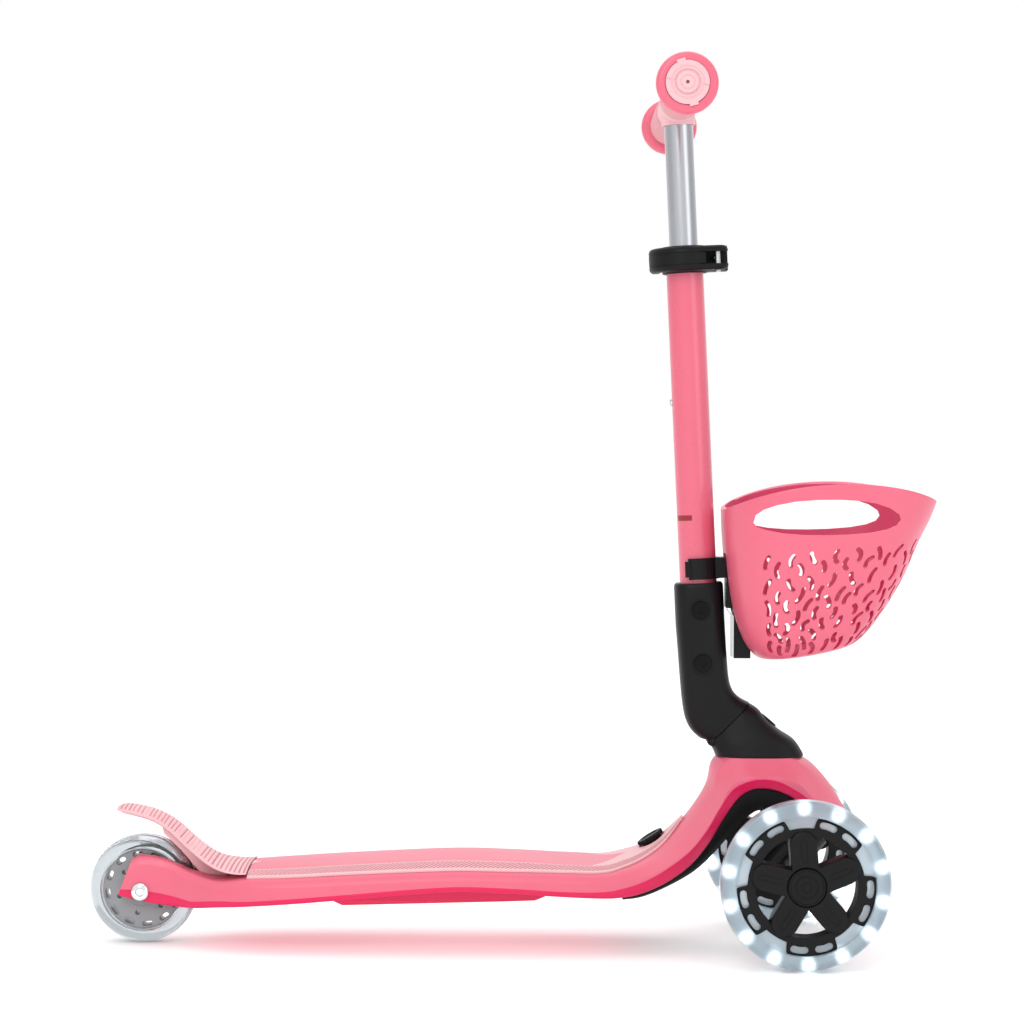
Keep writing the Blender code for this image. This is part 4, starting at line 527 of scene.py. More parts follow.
def deck_ring(row):
    """One section: crowned top, rolled shoulder, flat side, wide lower chamfer, flat bottom."""
    top_half, widest, crown, shoulder, curve, chamfer, inset = row[4:11]
    half = [(top_half * k / 9, top_rise(row, top_half * k / 9)) for k in range(10)]
    edge = station_height(row) - crown
    for k in range(1, 9):
        t = k / 8
        half.append((top_half + (widest - top_half) * t ** curve, edge - shoulder * t))
    soft = min(0.8, chamfer / 4)
    half += [(widest, chamfer + soft * 1.5), (widest - 0.12, chamfer + 0.3),
             (widest - 0.5, chamfer - soft), (widest - inset + 0.5, 1.0),
             (widest - inset - 0.6, 0.15), (widest - inset - 2.2, 0), (0, 0)]
    left = [station_point(row, y, rise) for y, rise in half]
    right = [station_point(row, -y, rise) for y, rise in half[-2:0:-1]]
    return left + right


def fork_recess(side):
    """The sunk band low on the fork's outer side, under a crease that falls towards the front; its
    faces, cut into the deck, take the painted shade.
    """
    rings = []
    for row in DECK_ROWS:
        if not -290 < row[0] < -206:
            continue
        t = (row[0] + 277) / 70
        crease = 41.5 - 13.5 * max(t, 0) ** 1.3
        near, far = side * (row[5] - 0.9 * (1 - max(t, 0) ** 4)), side * (row[5] + 9)
        rings.append([Vector((row[0], y, z)) * MM for y, z in
                      ((near, 5), (near - side * 0.1, crease - 1), (near + side * 0.3, crease),
                       (far, crease + 1.5), (far, 5))])
    rings[0] = [point + Vector((-0.02, 0, 0)) for point in rings[0]]
    return second_tone(loft("recess", rings))


def make_deck():
    """The moulded body with its nose and fork arms; its lower faces take a painted shade."""
    # The lower chamfer and the bottom of each section take the second material, a painted shade.
    side = [0] * 19 + [1] * 5
    tones = side + side[::-1]
    mesh = loft("deck", [deck_ring(row) for row in DECK_ROWS], tones=tones)
    deck = new_object("deck_body", mesh, (CORAL, CORAL_PAINTED_SHADE))
    flat_top = block((135, -50, 141.3), (240, 50, 175))
    wheel = rod(43, (0, -SLOT_HALF, 0), (0, SLOT_HALF, 0), 96, REAR_PLACE)
    lug = block((-321, -SLOT_HALF, 40.3), (-205.2, SLOT_HALF, 90))
    rear = block((-321, -SLOT_HALF, -10), (-271, SLOT_HALF, 90))
    pocket = block((-130, -38, 10), (32, 38, 56))
    axle = rod(4.2, (0, -40, 0), (0, 40, 0), 32, REAR_PLACE)
    for side in (1, -1):
        cut(deck, fork_recess(side))
    cut(deck, flat_top, wheel, lug, rear, pocket, axle)
    piece("deck_body", deck, "deck", (CORAL, CORAL_PAINTED_SHADE), ("deck_shell",), 50)


PAD_SHARES = (0, 0.12, 0.25, 0.38, 0.5, 0.6, 0.655, 0.665, 0.69, 0.70, 0.75, 0.80, 0.85, 0.90,
              0.935, 0.945, 0.97, 0.985, 1)
PAD_SLANT = 0.85


def make_pad():
    """The standing pad: a thin skin over the deck with slanting grooves along both edges.

    Its rows lean with the grooves, so that every groove is a clean line.
    """
    stations = between(DECK_STATIONS[5:16], 40)
    lengths = [0.0]
    for before, row in zip(stations, stations[1:]):
        lengths.append(lengths[-1] + math.hypot(row[0] - before[0], row[1] - before[1]))
    total = lengths[-1]

    def row_at(distance):
        distance = min(max(distance, 0), total)
        k = 1
        while k < len(lengths) - 1 and lengths[k] < distance:
            k += 1
        t = (distance - lengths[k - 1]) / (lengths[k] - lengths[k - 1])
        return [a + (b - a) * t for a, b in zip(stations[k - 1], stations[k])]

    shares = [-share for share in PAD_SHARES[:0:-1]] + list(PAD_SHARES)
    columns = len(shares) - 1
    step = TREAD_PITCH / 6
    bm = bmesh.new()
    grid, rows = [], []
    for i in range(-2, int((total + 50 * PAD_SLANT) / step) + 2):
        line, used = [], []
        for share in shares:
            place = i * step - 50 * PAD_SLANT * abs(share)
            row = row_at(place)
            half = max(row[4] * row[11], 0.4)
            y = half * share
            scored = (0.69 < abs(share) < 0.94 and i % 6 in (1, 2) and 2 < place < total - 2
                      and half > 8)
            fill = 1 - 0.62 * abs(share) ** 6
            rise = top_rise(row, y) + 0.3 + 2.55 * fill - (0.5 if scored else 0)
            if abs(share) < 0.66 and 8 < i * step < total - 50:
                rise -= 0.25
            line.append(bm.verts.new(station_point(row, y, rise)))
            used.append(row)
        grid.append(line)
        rows.append(used)
    for i in range(len(grid) - 1):
        for k in range(columns):
            face = bm.faces.new((grid[i][k], grid[i][k + 1], grid[i + 1][k + 1], grid[i + 1][k]))
            middle = abs(shares[k] + shares[k + 1]) / 2
            if middle < 0.66 and 8 < i * step < total - 50:
                face.material_index = 2
            # Faces in the grooves take the painted groove shade.
            elif 0.69 < middle < 0.94 and (i - 2) % 6 in (0, 1, 2):
                face.material_index = 1
    last = len(grid) - 1
    rim = ([(i, 0) for i in range(last + 1)] + [(last, k) for k in range(1, columns + 1)]
           + [(i, columns) for i in range(last - 1, -1, -1)]
           + [(0, k) for k in range(columns - 1, 0, -1)])
    lower = []
    for i, k in rim:
        row, y = rows[i][k], grid[i][k].co.y / MM
        lower.append(bm.verts.new(station_point(row, y, top_rise(row, y) + 0.1)))
    rim = [grid[i][k] for i, k in rim]
    for i in range(len(rim)):
        j = (i + 1) % len(rim)
        bm.faces.new((rim[j], rim[i], lower[i], lower[j]))
    bmesh.ops.remove_doubles(bm, verts=bm.verts, dist=2e-5)
    pad = new_object("standing_pad", mesh_from(bm, "pad"), (BLUSH, BLUSH_GROOVE_SHADE, CORAL))
    cut(pad, rod(11.0, (0, 0, -12), (0, 0, 20), 96, LOCK))
    piece("standing_pad", pad, "deck", (BLUSH, BLUSH_GROOVE_SHADE, CORAL),
          ("deck_tread",), 28)


def make_lock_button():
    """Black push button with a scalloped rim, set in the pad's tongue."""
    rim = []
    for i in range(144):
        a = WHOLE_TURN * i / 144
        r = 9.9 + 0.55 * math.cos(18 * a)
        rim.append((r * math.cos(a), r * math.sin(a)))
    base = plate("button", [rim], 3.0, 0.6, LOCK @ at(0, 0, 4.0), upright=False)
    item = new_object("steering_lock_knob", base)
    dish = turned("dish", [(0.01, 6.1), (0.01, 4.8), (6.4, 4.8), (7.4, 6.1)], LOCK, "Z", 64)
    cut(item, dish)
    join(item, rod(7.2, (0, 0, -4), (0, 0, 3), 48, LOCK))
    piece("steering_lock_knob", item, "steering_lock", (BLACK,),
          ("steering_lock_button",))


def make_undercover():
    """Black layer between the nose and the wheels, following the nose's lower edge."""
    depths = [(2, 0), (3, 1), (3.5, 2), (5.5, 4), (8, 6), (11, 10), (15, 12), (19, 10), (21, 6),
              (21.5, 2), (20, -2), (17, -4), (13, -4), (8, -3)]
    rings = []
    rows = DECK_ROWS[12 * DECK_PARTS:]
    for row, (drop, ahead) in zip(rows, between(depths, DECK_PARTS)):
        up = Vector((row[0] - row[2], 0, row[1] - row[3])).normalized()
        along = Vector((up.z, 0, -up.x))
        roof = Vector((row[2], 0, row[3])) - up * 0.3
        floor = roof - up * drop + along * ahead * 0.4
        half = row[5] - row[10] - 2.6
        side = [(half - 4 * (1 - math.cos(k / 7 * math.pi / 2)) ** 1.5, k / 7) for k in range(8)]
        ring = [(roof + (floor - roof) * t + Vector((0, w, 0))) * MM for w, t in side]
        ring += [(roof + (floor - roof) * t + Vector((0, -w, 0))) * MM for w, t in side[::-1]]
        rings.append(ring)
    cover = new_object("nose_undercover_skin", loft("cover", rings))
    up = Vector((math.cos(math.radians(50)), 0, math.sin(math.radians(50))))
    pivot = Vector((200, 0, 60.5))
    join(cover, rod(16, pivot + up * 22.8, pivot + up * 35, 64))
    cut(cover, rod(4.1, pivot, pivot + up * 32.5, 32))
    piece("nose_undercover_skin", cover, "deck", (BLACK_FINE,),
          ("nose_undercover",), 30)


# ---------------------------------------------------------------- folding joint
def tilted_ring(rear_x, rear_z, front_x, front_z, half_width):
    """A section of the folding joint between its rear and its front point."""
    rear, front = Vector((rear_x, 0, rear_z)), Vector((front_x, 0, front_z))
    middle, along = (rear + front) / 2, (front - rear) / 2
    return [(middle + along * x + Vector((0, y * half_width, 0))) * MM
            for x, y in superellipse(64, SQUARE)]


def hinge_rod(radius, start, end):
    """A round bar on the fold's axis, between two places across the scooter."""
    return rod(radius, (0, start, 0), (0, end, 0), 40, Matrix.Translation(FOLD_PIVOT))


def joint_block(low, high, angle, place):
    """A box that leans with the fold's parting face."""
    return moved(block(low, high), Matrix.Rotation(-angle, 4, "Y"), Matrix.Translation(place))


FOLD_BUTTON_PLACE = Vector((191.0, 0, 166.7))
FOLD_BUTTON_OUT = Vector((math.sin(math.radians(40)), 0, math.cos(math.radians(40))))


def make_column_base():
    """Lower half of the folding joint, and the key that releases it."""
    profile = [
        (152.0, 141.6, 216.8, 141.6, 25.0), (151.7, 142.6, 215.9, 144.6, 24.7),
        (150.8, 144.7, 209.6, 153.5, 23.6), (149.7, 146.7, 199.0, 160.5, 22.4),
        (148.8, 148.3, 189.0, 169.0, 20.7), (148.0, 149.5, 183.5, 175.5, 19.4),
        (147.4, 150.3, 177.0, 179.7, 18.3),
    ]
    rings = [tilted_ring(*row) for row in between(profile, 6)]
    base = new_object("fold_base", loft("base", rings))
    cut(base, joint_block((-20, -30, 0), (50, 30, 30), JOINT_SLOPE, FOLD_PIVOT),
        hinge_rod(4.0, -5.8, 5.8))
    join(base, hinge_rod(3.7, 6.1, 12.5), hinge_rod(3.7, -12.5, -6.1))
    cut(base, hinge_rod(1.7, -40, 40),
        rod(7.3, FOLD_BUTTON_PLACE - FOLD_BUTTON_OUT * 6,
            FOLD_BUTTON_PLACE + FOLD_BUTTON_OUT * 20, 64))
    round_edges(base, 0.35, 2, 45)
    piece("fold_base", base, "deck", (BLACK,), ("column_base",), 34)
    button = rod(7, FOLD_BUTTON_PLACE - FOLD_BUTTON_OUT * 2.5,
                 FOLD_BUTTON_PLACE + FOLD_BUTTON_OUT * 1.4, 64)
    item = new_object("fold_release_key", button)
    round_edges(item, 1.0, 3)
    piece("fold_release_key", item, "fold_release", (BLACK_FINE,),
          ("fold_release_button",))


BOLTS_UP = (58.1, 97.1)


def make_sleeve():
    """Upper half of the joint, bent back up into a socket for the tube."""
    foot = [
        (147.3, 150.3, 176.5, 180.4), (141.0, 153.7, 170.8, 183.3), (134.3, 159.8, 165.8, 187.7),
        (130.2, 167.5, 162.8, 193.7), (128.0, 177.5, 161.3, 201.5), (126.4, 191.5, 160.6, 209.5),
        (124.5, 215.0, 159.8, 219.0),
    ]
    rings = [tilted_ring(*row, 18.3) for row in between(foot, 6)]
    for up, depth in ((87, 18.0), (100, 18.0), (114.0, 18.0), (115.8, 17.6), (116.8, 16.8)):
        rings.append([COLUMN @ (Vector((x * depth, y * (depth + 0.3), up)) * MM)
                      for x, y in superellipse(64, SQUARE)])
    sleeve = new_object("fold_sleeve", loft("sleeve", rings))
    normal = Vector((-math.sin(JOINT_SLOPE), 0, math.cos(JOINT_SLOPE)))
    cut(sleeve, joint_block((-30, -30, -30), (60, 30, 0), JOINT_SLOPE,
                            FOLD_PIVOT + normal * 0.6 * MM),
        joint_block((-12, -30, -8), (0, 30, 0), math.radians(-12), FOLD_PIVOT),
        hinge_rod(4.0, 5.5, 12.8), hinge_rod(4.0, -12.8, -5.5))
    join(sleeve, hinge_rod(3.7, -5.5, 5.5))
    cut(sleeve, hinge_rod(1.7, -20, 20),
        rod(TUBE_RADIUS + 0.3, (0, 0, 44.7), (0, 0, 130), 96, COLUMN))
    dent = [turned_about(capsule(58, 18.6), 90)]
    for side in (-1, 1):
        cut(sleeve, plate("dent", dent, 6, 0.02, COLUMN @ at(0, side * 19.95, 77.6)))
        for up in BOLTS_UP:
            cut(sleeve, rod(6.6, (0, side * 16.3, up), (0, side * 30, up), 64, COLUMN))
    for up in BOLTS_UP:
        cut(sleeve, rod(BOLT_BORE, (0, -30, up), (0, 30, up), 32, COLUMN))
    round_edges(sleeve, 0.4, 2, 40)
    piece("fold_sleeve", sleeve, "column", (BLACK,), ("column_sleeve",), 34)


# ---------------------------------------------------------------- column and clamp
def column_ring(name, outer, inner, low, high, edge=0.4):
    """A ring on the column's axis, with its outer edges chamfered."""
    profile = [(outer - edge, high), (outer, high - edge), (outer, low + edge), (outer - edge, low),
               (inner, low), (inner, high)]
    return turned(name, profile, COLUMN, "Z", 96)


def make_column():
    """Both tubes, with the mark that shows how far the upper one may come out."""
    tube = new_object("lower_tube", column_ring("tube", TUBE_RADIUS, 12.05, 45, 359.5))
    for up in BOLTS_UP:
        cut(tube, rod(BOLT_BORE, (0, -30, up), (0, 30, up), 32, COLUMN))
    cut(tube, rod(2.8, (0, 0, BUTTON_UP), (-30, 0, BUTTON_UP), 32, COLUMN))
    piece("lower_tube", tube, "column", (PAINT,), ("outer_tube",))
    bm = bmesh.new()
    rows = []
    for up in (163.0, 166.9):
        row = []
        for k in range(13):
            a = math.radians(-162 + 58 * k / 12)
            row.append(bm.verts.new(COLUMN @ (Vector((13.72 * math.cos(a), 13.72 * math.sin(a),
                                                      up)) * MM)))
        rows.append(row)
    for k in range(12):
        bm.faces.new((rows[0][k], rows[0][k + 1], rows[1][k + 1], rows[1][k]))
    item = new_object("height_limit_mark", mesh_from(bm, "mark"))
    thick = item.modifiers.new("ink", "SOLIDIFY")
    thick.thickness = 0.05 * MM
    settled(item)
    piece("height_limit_mark", item, "column", (MARK_RED,))
    upper = new_object("upper_tube", column_ring("tube", 10.6, 9.1, 164, 463.7, 0.2))
    for step in (-50, 0, 50):
        up = BUTTON_UP - step
        cut(upper, rod(2.9, (0, 0, up), (-30, 0, up), 32, COLUMN))
    piece("upper_tube", upper, "handlebar", (ALUMINIUM,), ("inner_tube",))


def make_clamp():
    """Collar and cam lever of the height clamp, bored for its bolt."""
    low, high = 344.5, 364.5
    collar = new_object("clamp_ring", turned("ring", [
        (16.0, high), (16.6, high - 0.8), (16.6, low + 0.8), (16.0, low), (14.05, low),
        (14.05, 359.8), (10.75, 359.8), (10.75, high)], COLUMN, "Z", 96))
    join(collar, moved(block((14.4, -6, low + 1), (31.4, 12.5, high - 1)), COLUMN))
    slit = moved(block((8, -0.9, low - 10), (40, 0.9, high + 10)), COLUMN)
    cut(collar, slit, rod(2.5, (23.5, -30, CLAMP_UP), (23.5, 30, CLAMP_UP), 32, COLUMN))
    round_edges(collar, 0.8, 2, 50)
    piece("clamp_ring", collar, "column", (BLACK,), ("clamp_collar",))
    pivot = (23.5, -15)
    outer = arc(26.0, 160, 290, 40) + arc(7.8, -72, 88, 20, pivot) + arc(17.4, 317, 160, 46)
    lever = new_object("clamp_cam_lever", plate("lever", [outer], 18.0, 3.2,
                                                COLUMN @ at(0, 0, CLAMP_UP), upright=False))
    window = moved(block((14.5, -30, 350), (36, -3.5, 359)), COLUMN)
    cut(lever, window, rod(2.2, (*pivot, 330), (*pivot, 380), 32, COLUMN))
    for up in (350.2, 358.8):
        line = turned("line", [(28, up + 0.35), (28, up - 0.35), (25.5, up - 0.35),
                               (25.5, up + 0.35)], COLUMN, "Z", 96)
        cut(lever, line)
    piece("clamp_cam_lever", lever, "clamp", (BLACK_FINE,), ("clamp_lever",), 45)


# ---------------------------------------------------------------- handlebar
BAR = COLUMN @ at(0, 0, 467.7)


def bar_place(side):
    """The bar's own place, turned end for end for the right-hand side."""
    return BAR if side > 0 else BAR @ Matrix.Rotation(math.radians(180), 4, "X")


def bar_turned(name, profile, side=1):
    return turned(name, profile, bar_place(side), "Y")


def make_handlebar():
    """The bar with its neck, and what sits on both ends."""
    bar = new_object("bar_tee", bar_turned("tee", [
        (9.9, -135.5), (10.0, -135.3), (10.0, -38.2), (13.2, -38.0), (13.5, -37.6), (13.5, 37.6),
        (13.2, 38.0), (10.0, 38.2), (10.0, 135.3), (9.9, 135.5), (0.01, 135.5), (0.01, -135.5)]))
    cut(bar, rod(10.9, (0, 0, 440), (0, 0, 464.0), 96, COLUMN))
    neck = column_ring("neck", 12.6, 10.95, 453.5, 462.0, 0.6)
    join(bar, neck)
    piece("bar_tee", bar, "handlebar", (BLUSH,), ("handlebar_core",))
    for side, name in ((1, "left"), (-1, "right")):
        make_bar_end(side, name)


def make_bar_end(side, name):
    """Ribbed grip, fat round bumper, and a plug with a turned groove and two bayonet tabs."""
    profile = [(14.0, 38.3), (14.7, 39.0), (14.8, 41.0)]
    ribs = 20
    step = 82.0 / ribs
    for k in range(ribs):
        y = 42.5 + step * k
        profile += [(14.8, y + 0.9), (14.15, y + 1.3), (14.15, y + 2.1), (14.8, y + 2.5)]
    profile += [(14.8, 127.0), (14.3, 128.2), (10.3, 128.2), (10.3, 38.3)]
    piece(f"hand_grip_{name}", bar_turned("grip", profile, side), "handlebar", (GRIP,),
          (f"grip_{name}",))
    rim = []
    for k in range(17):
        a = math.radians(90 - 180 * k / 16)
        rim.append((17.9 + 3.8 * math.cos(a) ** 0.8 if math.cos(a) > 1e-6 else 17.9,
                    134.0 - 5.5 * math.sin(a)))
    rim += [(15.6, 139.5), (15.5, 139.2), (15.5, 132.5), (10.3, 132.5), (10.3, 128.5)]
    piece(f"end_bumper_{name}", bar_turned("bumper", rim, side), "handlebar", (CORAL,),
          (f"bumper_{name}",))
    plug = new_object("plug", bar_turned("plug", [
        (15.2, 132.8), (15.2, 140.7), (14.6, 141.2), (11.6, 141.2), (11.5, 140.8), (10.4, 140.8),
        (10.3, 141.2), (9.2, 141.2), (9.1, 140.2), (7.6, 140.2), (7.5, 141.3), (6.6, 141.5),
        (5.2, 141.5), (5.1, 141.1), (4.3, 141.1), (4.2, 141.5), (1.3, 141.5), (1.2, 138.0),
        (0.01, 138.0), (0.01, 136.0), (10.3, 136.0), (10.3, 132.8)], side))
    spin = Matrix.Rotation(math.radians(14 if side < 0 else -14), 4, "Y")
    for angle in (0, 180):
        tab = block((-3.0, 139.6, 12.2), (3.0, 141.35, 16.6))
        join(plug, moved(tab, Matrix.Rotation(math.radians(angle), 4, "Y"), spin, bar_place(side)))
    for angle in (78, 258):
        groove = block((-0.7, 140.6, 7.6), (0.7, 142.0, 14.8))
        cut(plug, moved(groove, Matrix.Rotation(math.radians(angle), 4, "Y"), bar_place(side)))
    piece(f"bar_plug_{name}", plug, "handlebar", (BLUSH,), (f"end_plug_{name}",))


# ---------------------------------------------------------------- front wheels
SPOKE_ANGLES = [95 - 72 * k for k in range(5)]
BLOCK_ANGLES = [angle - 36 for angle in SPOKE_ANGLES]


def degrees_apart(first, second):
    """The smaller angle between two directions."""
    return abs((first - second + 180) % 360 - 180)


def rim_radius(angle):
    """Outline of the core's rim: a ring with five raised blocks that key into the tyre."""
    for centre in BLOCK_ANGLES:
        away = degrees_apart(angle, centre)
        if away < 24:
            step = min(1, (24 - away) / 3.2)
            return 41.2 + 7.7 * math.sin(step * math.pi / 2) ** 0.8
    return 41.2


def spoke_radius(angle):
    """Outline of five parallel-sided paddles with round ends."""
    best = 14.2
    width, cap = 9.6, 29.8
    for centre in SPOKE_ANGLES:
        off = math.radians(degrees_apart(angle, centre))
        if off >= math.pi / 2:
            continue
        reach = width / max(math.sin(off), 1e-4)
        if reach * math.cos(off) > cap:
            inside = width ** 2 - (cap * math.sin(off)) ** 2
            if inside <= 0:
                continue
            reach = cap * math.cos(off) + math.sqrt(inside)
        best = max(best, reach)
    return best


def polar_solid(name, radius_of, layers, place):
    """A star-shaped solid, with its outline drawn in by an inset at each depth along the axle."""
    rings = []
    for depth, inset in layers:
        ring = []
        for i in range(480):
            a = WHOLE_TURN * i / 480
            r = radius_of(360 * i / 480) - inset
            ring.append(place @ (Vector((r * math.cos(a), depth, r * math.sin(a))) * MM))
        rings.append(ring)
    return loft(name, rings)


def make_front_wheel(side, name):
    """Clear tyre, paddle core, hub cap, and the light guide with its diodes."""
    centre = FRONT_AXLE + Vector((0, side * HALF_TRACK, 0))
    place = Matrix.Translation(centre)
    out = place @ Matrix.Rotation(0 if side < 0 else math.pi, 4, "Z")
    body = f"front_wheel_{name}"
    tyre = []
    for k in range(25):
        a = math.radians(90 - 180 * k / 24)
        tyre.append((54.3 + 6.2 * max(math.cos(a), 0) ** 0.75, 12.3 * math.sin(a)))
    tyre += [(51.0, -12.1), (49.3, -11.2), (49.1, -10), (49.1, 10), (49.3, 11.2), (51.0, 12.1)]
    piece(f"clear_tyre_{name}", turned("tyre", tyre, place, "Y", 144), body, (CLEAR,),
          (f"front_tyre_{name}",))
    windows = []
    for middle in BLOCK_ANGLES:
        for offset in (-11.3, 11.3):
            a = math.radians(middle + offset)
            windows.append(turned_about(capsule(12.9, 4.9, 0.45), middle + offset - 90,
                                        (44.4 * math.cos(a), 44.4 * math.sin(a))))
    rim = polar_solid("rim", rim_radius, (
        (-8.8, 0.8), (-8.5, 0.3), (-8.0, 0), (8.0, 0), (8.5, 0.3), (8.8, 0.8)), out)
    core = new_object(f"wheel_core_{name}", rim)
    cut(core, rod(36.0, (0, -20, 0), (0, 20, 0), 144, out),
        *[plate("window", [window], 30, 0.02, out) for window in windows])
    join(core, polar_solid("spokes", spoke_radius, (
        (-11.4, 1.2), (-11.2, 0.7), (-10.7, 0.25), (-10.0, 0), (6.0, 0), (6.8, 0.9)), out))
    slots = []
    for angle in SPOKE_ANGLES:
        a = math.radians(angle)
        spot = (26.0 * math.cos(a), 26.0 * math.sin(a))
        outline = turned_about(capsule(18.5, 5.2), angle, spot)
        island = turned_about(capsule(14.5, 2.4), angle, spot)
        slots.append(plate("slot", [outline, island], 1.4, 0.02, out @ at(0, -11.5, 0)))
    bores = [rod(14.2, (0, -13, 0), (0, -8.6, 0), 64, out),
             rod(5.5, (0, -20, 0), (0, 20, 0), 32, out),
             rod(8.8, (0, -14, 0), (0, -2.5, 0), 48, out),
             rod(8.8, (0, 2.5, 0), (0, 14, 0), 48, out)]
    cut(core, *slots, *bores)
    piece(f"wheel_core_{name}", core, body, (BLACK,), (f"front_core_{name}",), 35)
    cap = turned("cap", [(0.01, -12.9), (3.0, -12.9), (3.2, -13.2), (3.9, -13.2), (4.1, -12.9),
                         (7.2, -12.8), (7.4, -13.2), (8.1, -13.2), (8.3, -12.7), (11.6, -12.4),
                         (12.2, -13.0), (12.9, -12.8), (13.3, -12.0), (13.3, -9.2), (8.4, -9.0),
                         (8.4, -8.9), (5.3, -8.9), (5.3, -11.2), (0.01, -11.2)], out, "Y", 72)
    piece(f"wheel_cap_{name}", cap, body, (BLACK_FINE,), (f"hub_cap_{name}",))
    bm = bmesh.new()
    for k in range(DIODES):
        a = math.radians(FIRST_DIODE + k * 360 / DIODES)
        spot = out @ (Vector((DIODE_RING * math.cos(a), -6.2, DIODE_RING * math.sin(a))) * MM)
        turn = Matrix.Rotation(-a, 4, "Y")
        size = Matrix.Diagonal((1.8, 1.5, 3.0, 1))
        bmesh.ops.create_icosphere(bm, subdivisions=3, radius=1.0 * MM,
                                   matrix=Matrix.Translation(spot) @ turn @ size)
    piece(f"wheel_lights_{name}", mesh_from(bm, "lights"), body, (GLOW,))
    guide = turned("guide", [(41.3, -7.0), (41.8, -7.4), (52.2, -7.9), (57.2, -7.4), (58.3, -5.5),
                             (58.3, 5.5), (57.2, 7.4), (52.2, 7.9), (41.8, 7.4), (41.3, 7.0)],
                   place, "Y", 144)
    frosted = light_guide(f"frosted_light_guide_{name}", centre, FIRST_DIODE)
    piece(f"light_guide_{name}", guide, body, (frosted,))


# ---------------------------------------------------------------- rear wheel and brake
def make_rear_wheel():
    """Clear tyre on a smoke-grey disc with two rings of openings."""
    tyre = []
    for k in range(25):
        a = math.radians(90 - 180 * k / 24)
        tyre.append((33.2 + 6.8 * max(math.cos(a), 0) ** 0.8, 12.0 * math.sin(a)))
    tyre += [(31.0, -11.8), (30.0, -10.6), (29.8, -10), (29.8, 10), (30.0, 10.6), (31.0, 11.8)]
    piece("rear_clear_tyre", turned("tyre", tyre, REAR_PLACE, "Y", 144), "rear_wheel",
          (CLEAR_REAR,), ("rear_tyre",))
    holes = []
    for k in range(12):
        a = math.radians(30 * k + 8)
        holes.append(turned_about(capsule(7.6, 3.4), 30 * k + 98,
                                  (26.0 * math.cos(a), 26.0 * math.sin(a))))
    for k in range(6):
        a = math.radians(60 * k + 18)
        holes.append(circle(1.7, 20, (18.0 * math.cos(a), 18.0 * math.sin(a))))
    core = new_object("rear_wheel_disc",
                      plate("disc", [circle(29.4, 128)] + holes, 17.0, 0.6, REAR_PLACE))
    join(core, turned("hub", [(12.2, 10.0), (12.6, 9.4), (12.6, -9.4), (12.2, -10.0), (8.9, -10.0),
                              (8.9, 10.0)], REAR_PLACE, "Y", 64))
    cut(core, rod(5.5, (0, -20, 0), (0, 20, 0), 32, REAR_PLACE),
        rod(8.8, (0, 2.5, 0), (0, 20, 0), 48, REAR_PLACE),
        rod(8.8, (0, -20, 0), (0, -2.5, 0), 48, REAR_PLACE))
    piece("rear_wheel_disc", core, "rear_wheel", (GREY,), ("rear_core",), 35)


def make_axle_bolt():
    """Chromed button-head axle bolt with a socket."""
    profile = [(0.01, -23.9), (2.7, -23.9), (2.7, -25.3), (3.1, -25.8), (4.4, -25.6), (5.8, -24.9),
               (6.6, -23.9), (6.8, -22.8), (4.0, -22.8), (4.0, 26.3), (0.01, 26.3)]
    piece("rear_axle_screw", turned("bolt", profile, REAR_PLACE, "Y", 64), "deck", (CHROME,),
          ("rear_axle_bolt",))


BRAKE_STATIONS = [  # x, z on top, half-width, thickness, drop of the edges
    (-290.0, 100.5, 12.0, 3.0, 1.0), (-285.0, 102.0, 18.0, 4.5, 2.0),
    (-274.0, 101.0, 20.0, 5.0, 3.0), (-259.0, 97.0, 20.0, 5.0, 4.0),
    (-245.0, 89.0, 21.0, 5.0, 5.0), (-230.0, 75.5, 24.0, 4.5, 5.0),
    (-217.0, 65.5, 31.0, 4.0, 4.0), (-207.0, 61.0, 38.0, 3.5, 3.0),
    (-197.0, 59.4, 42.5, 2.5, 2.6), (-191.2, 59.7, 44.5, 2.0, 2.6),
]


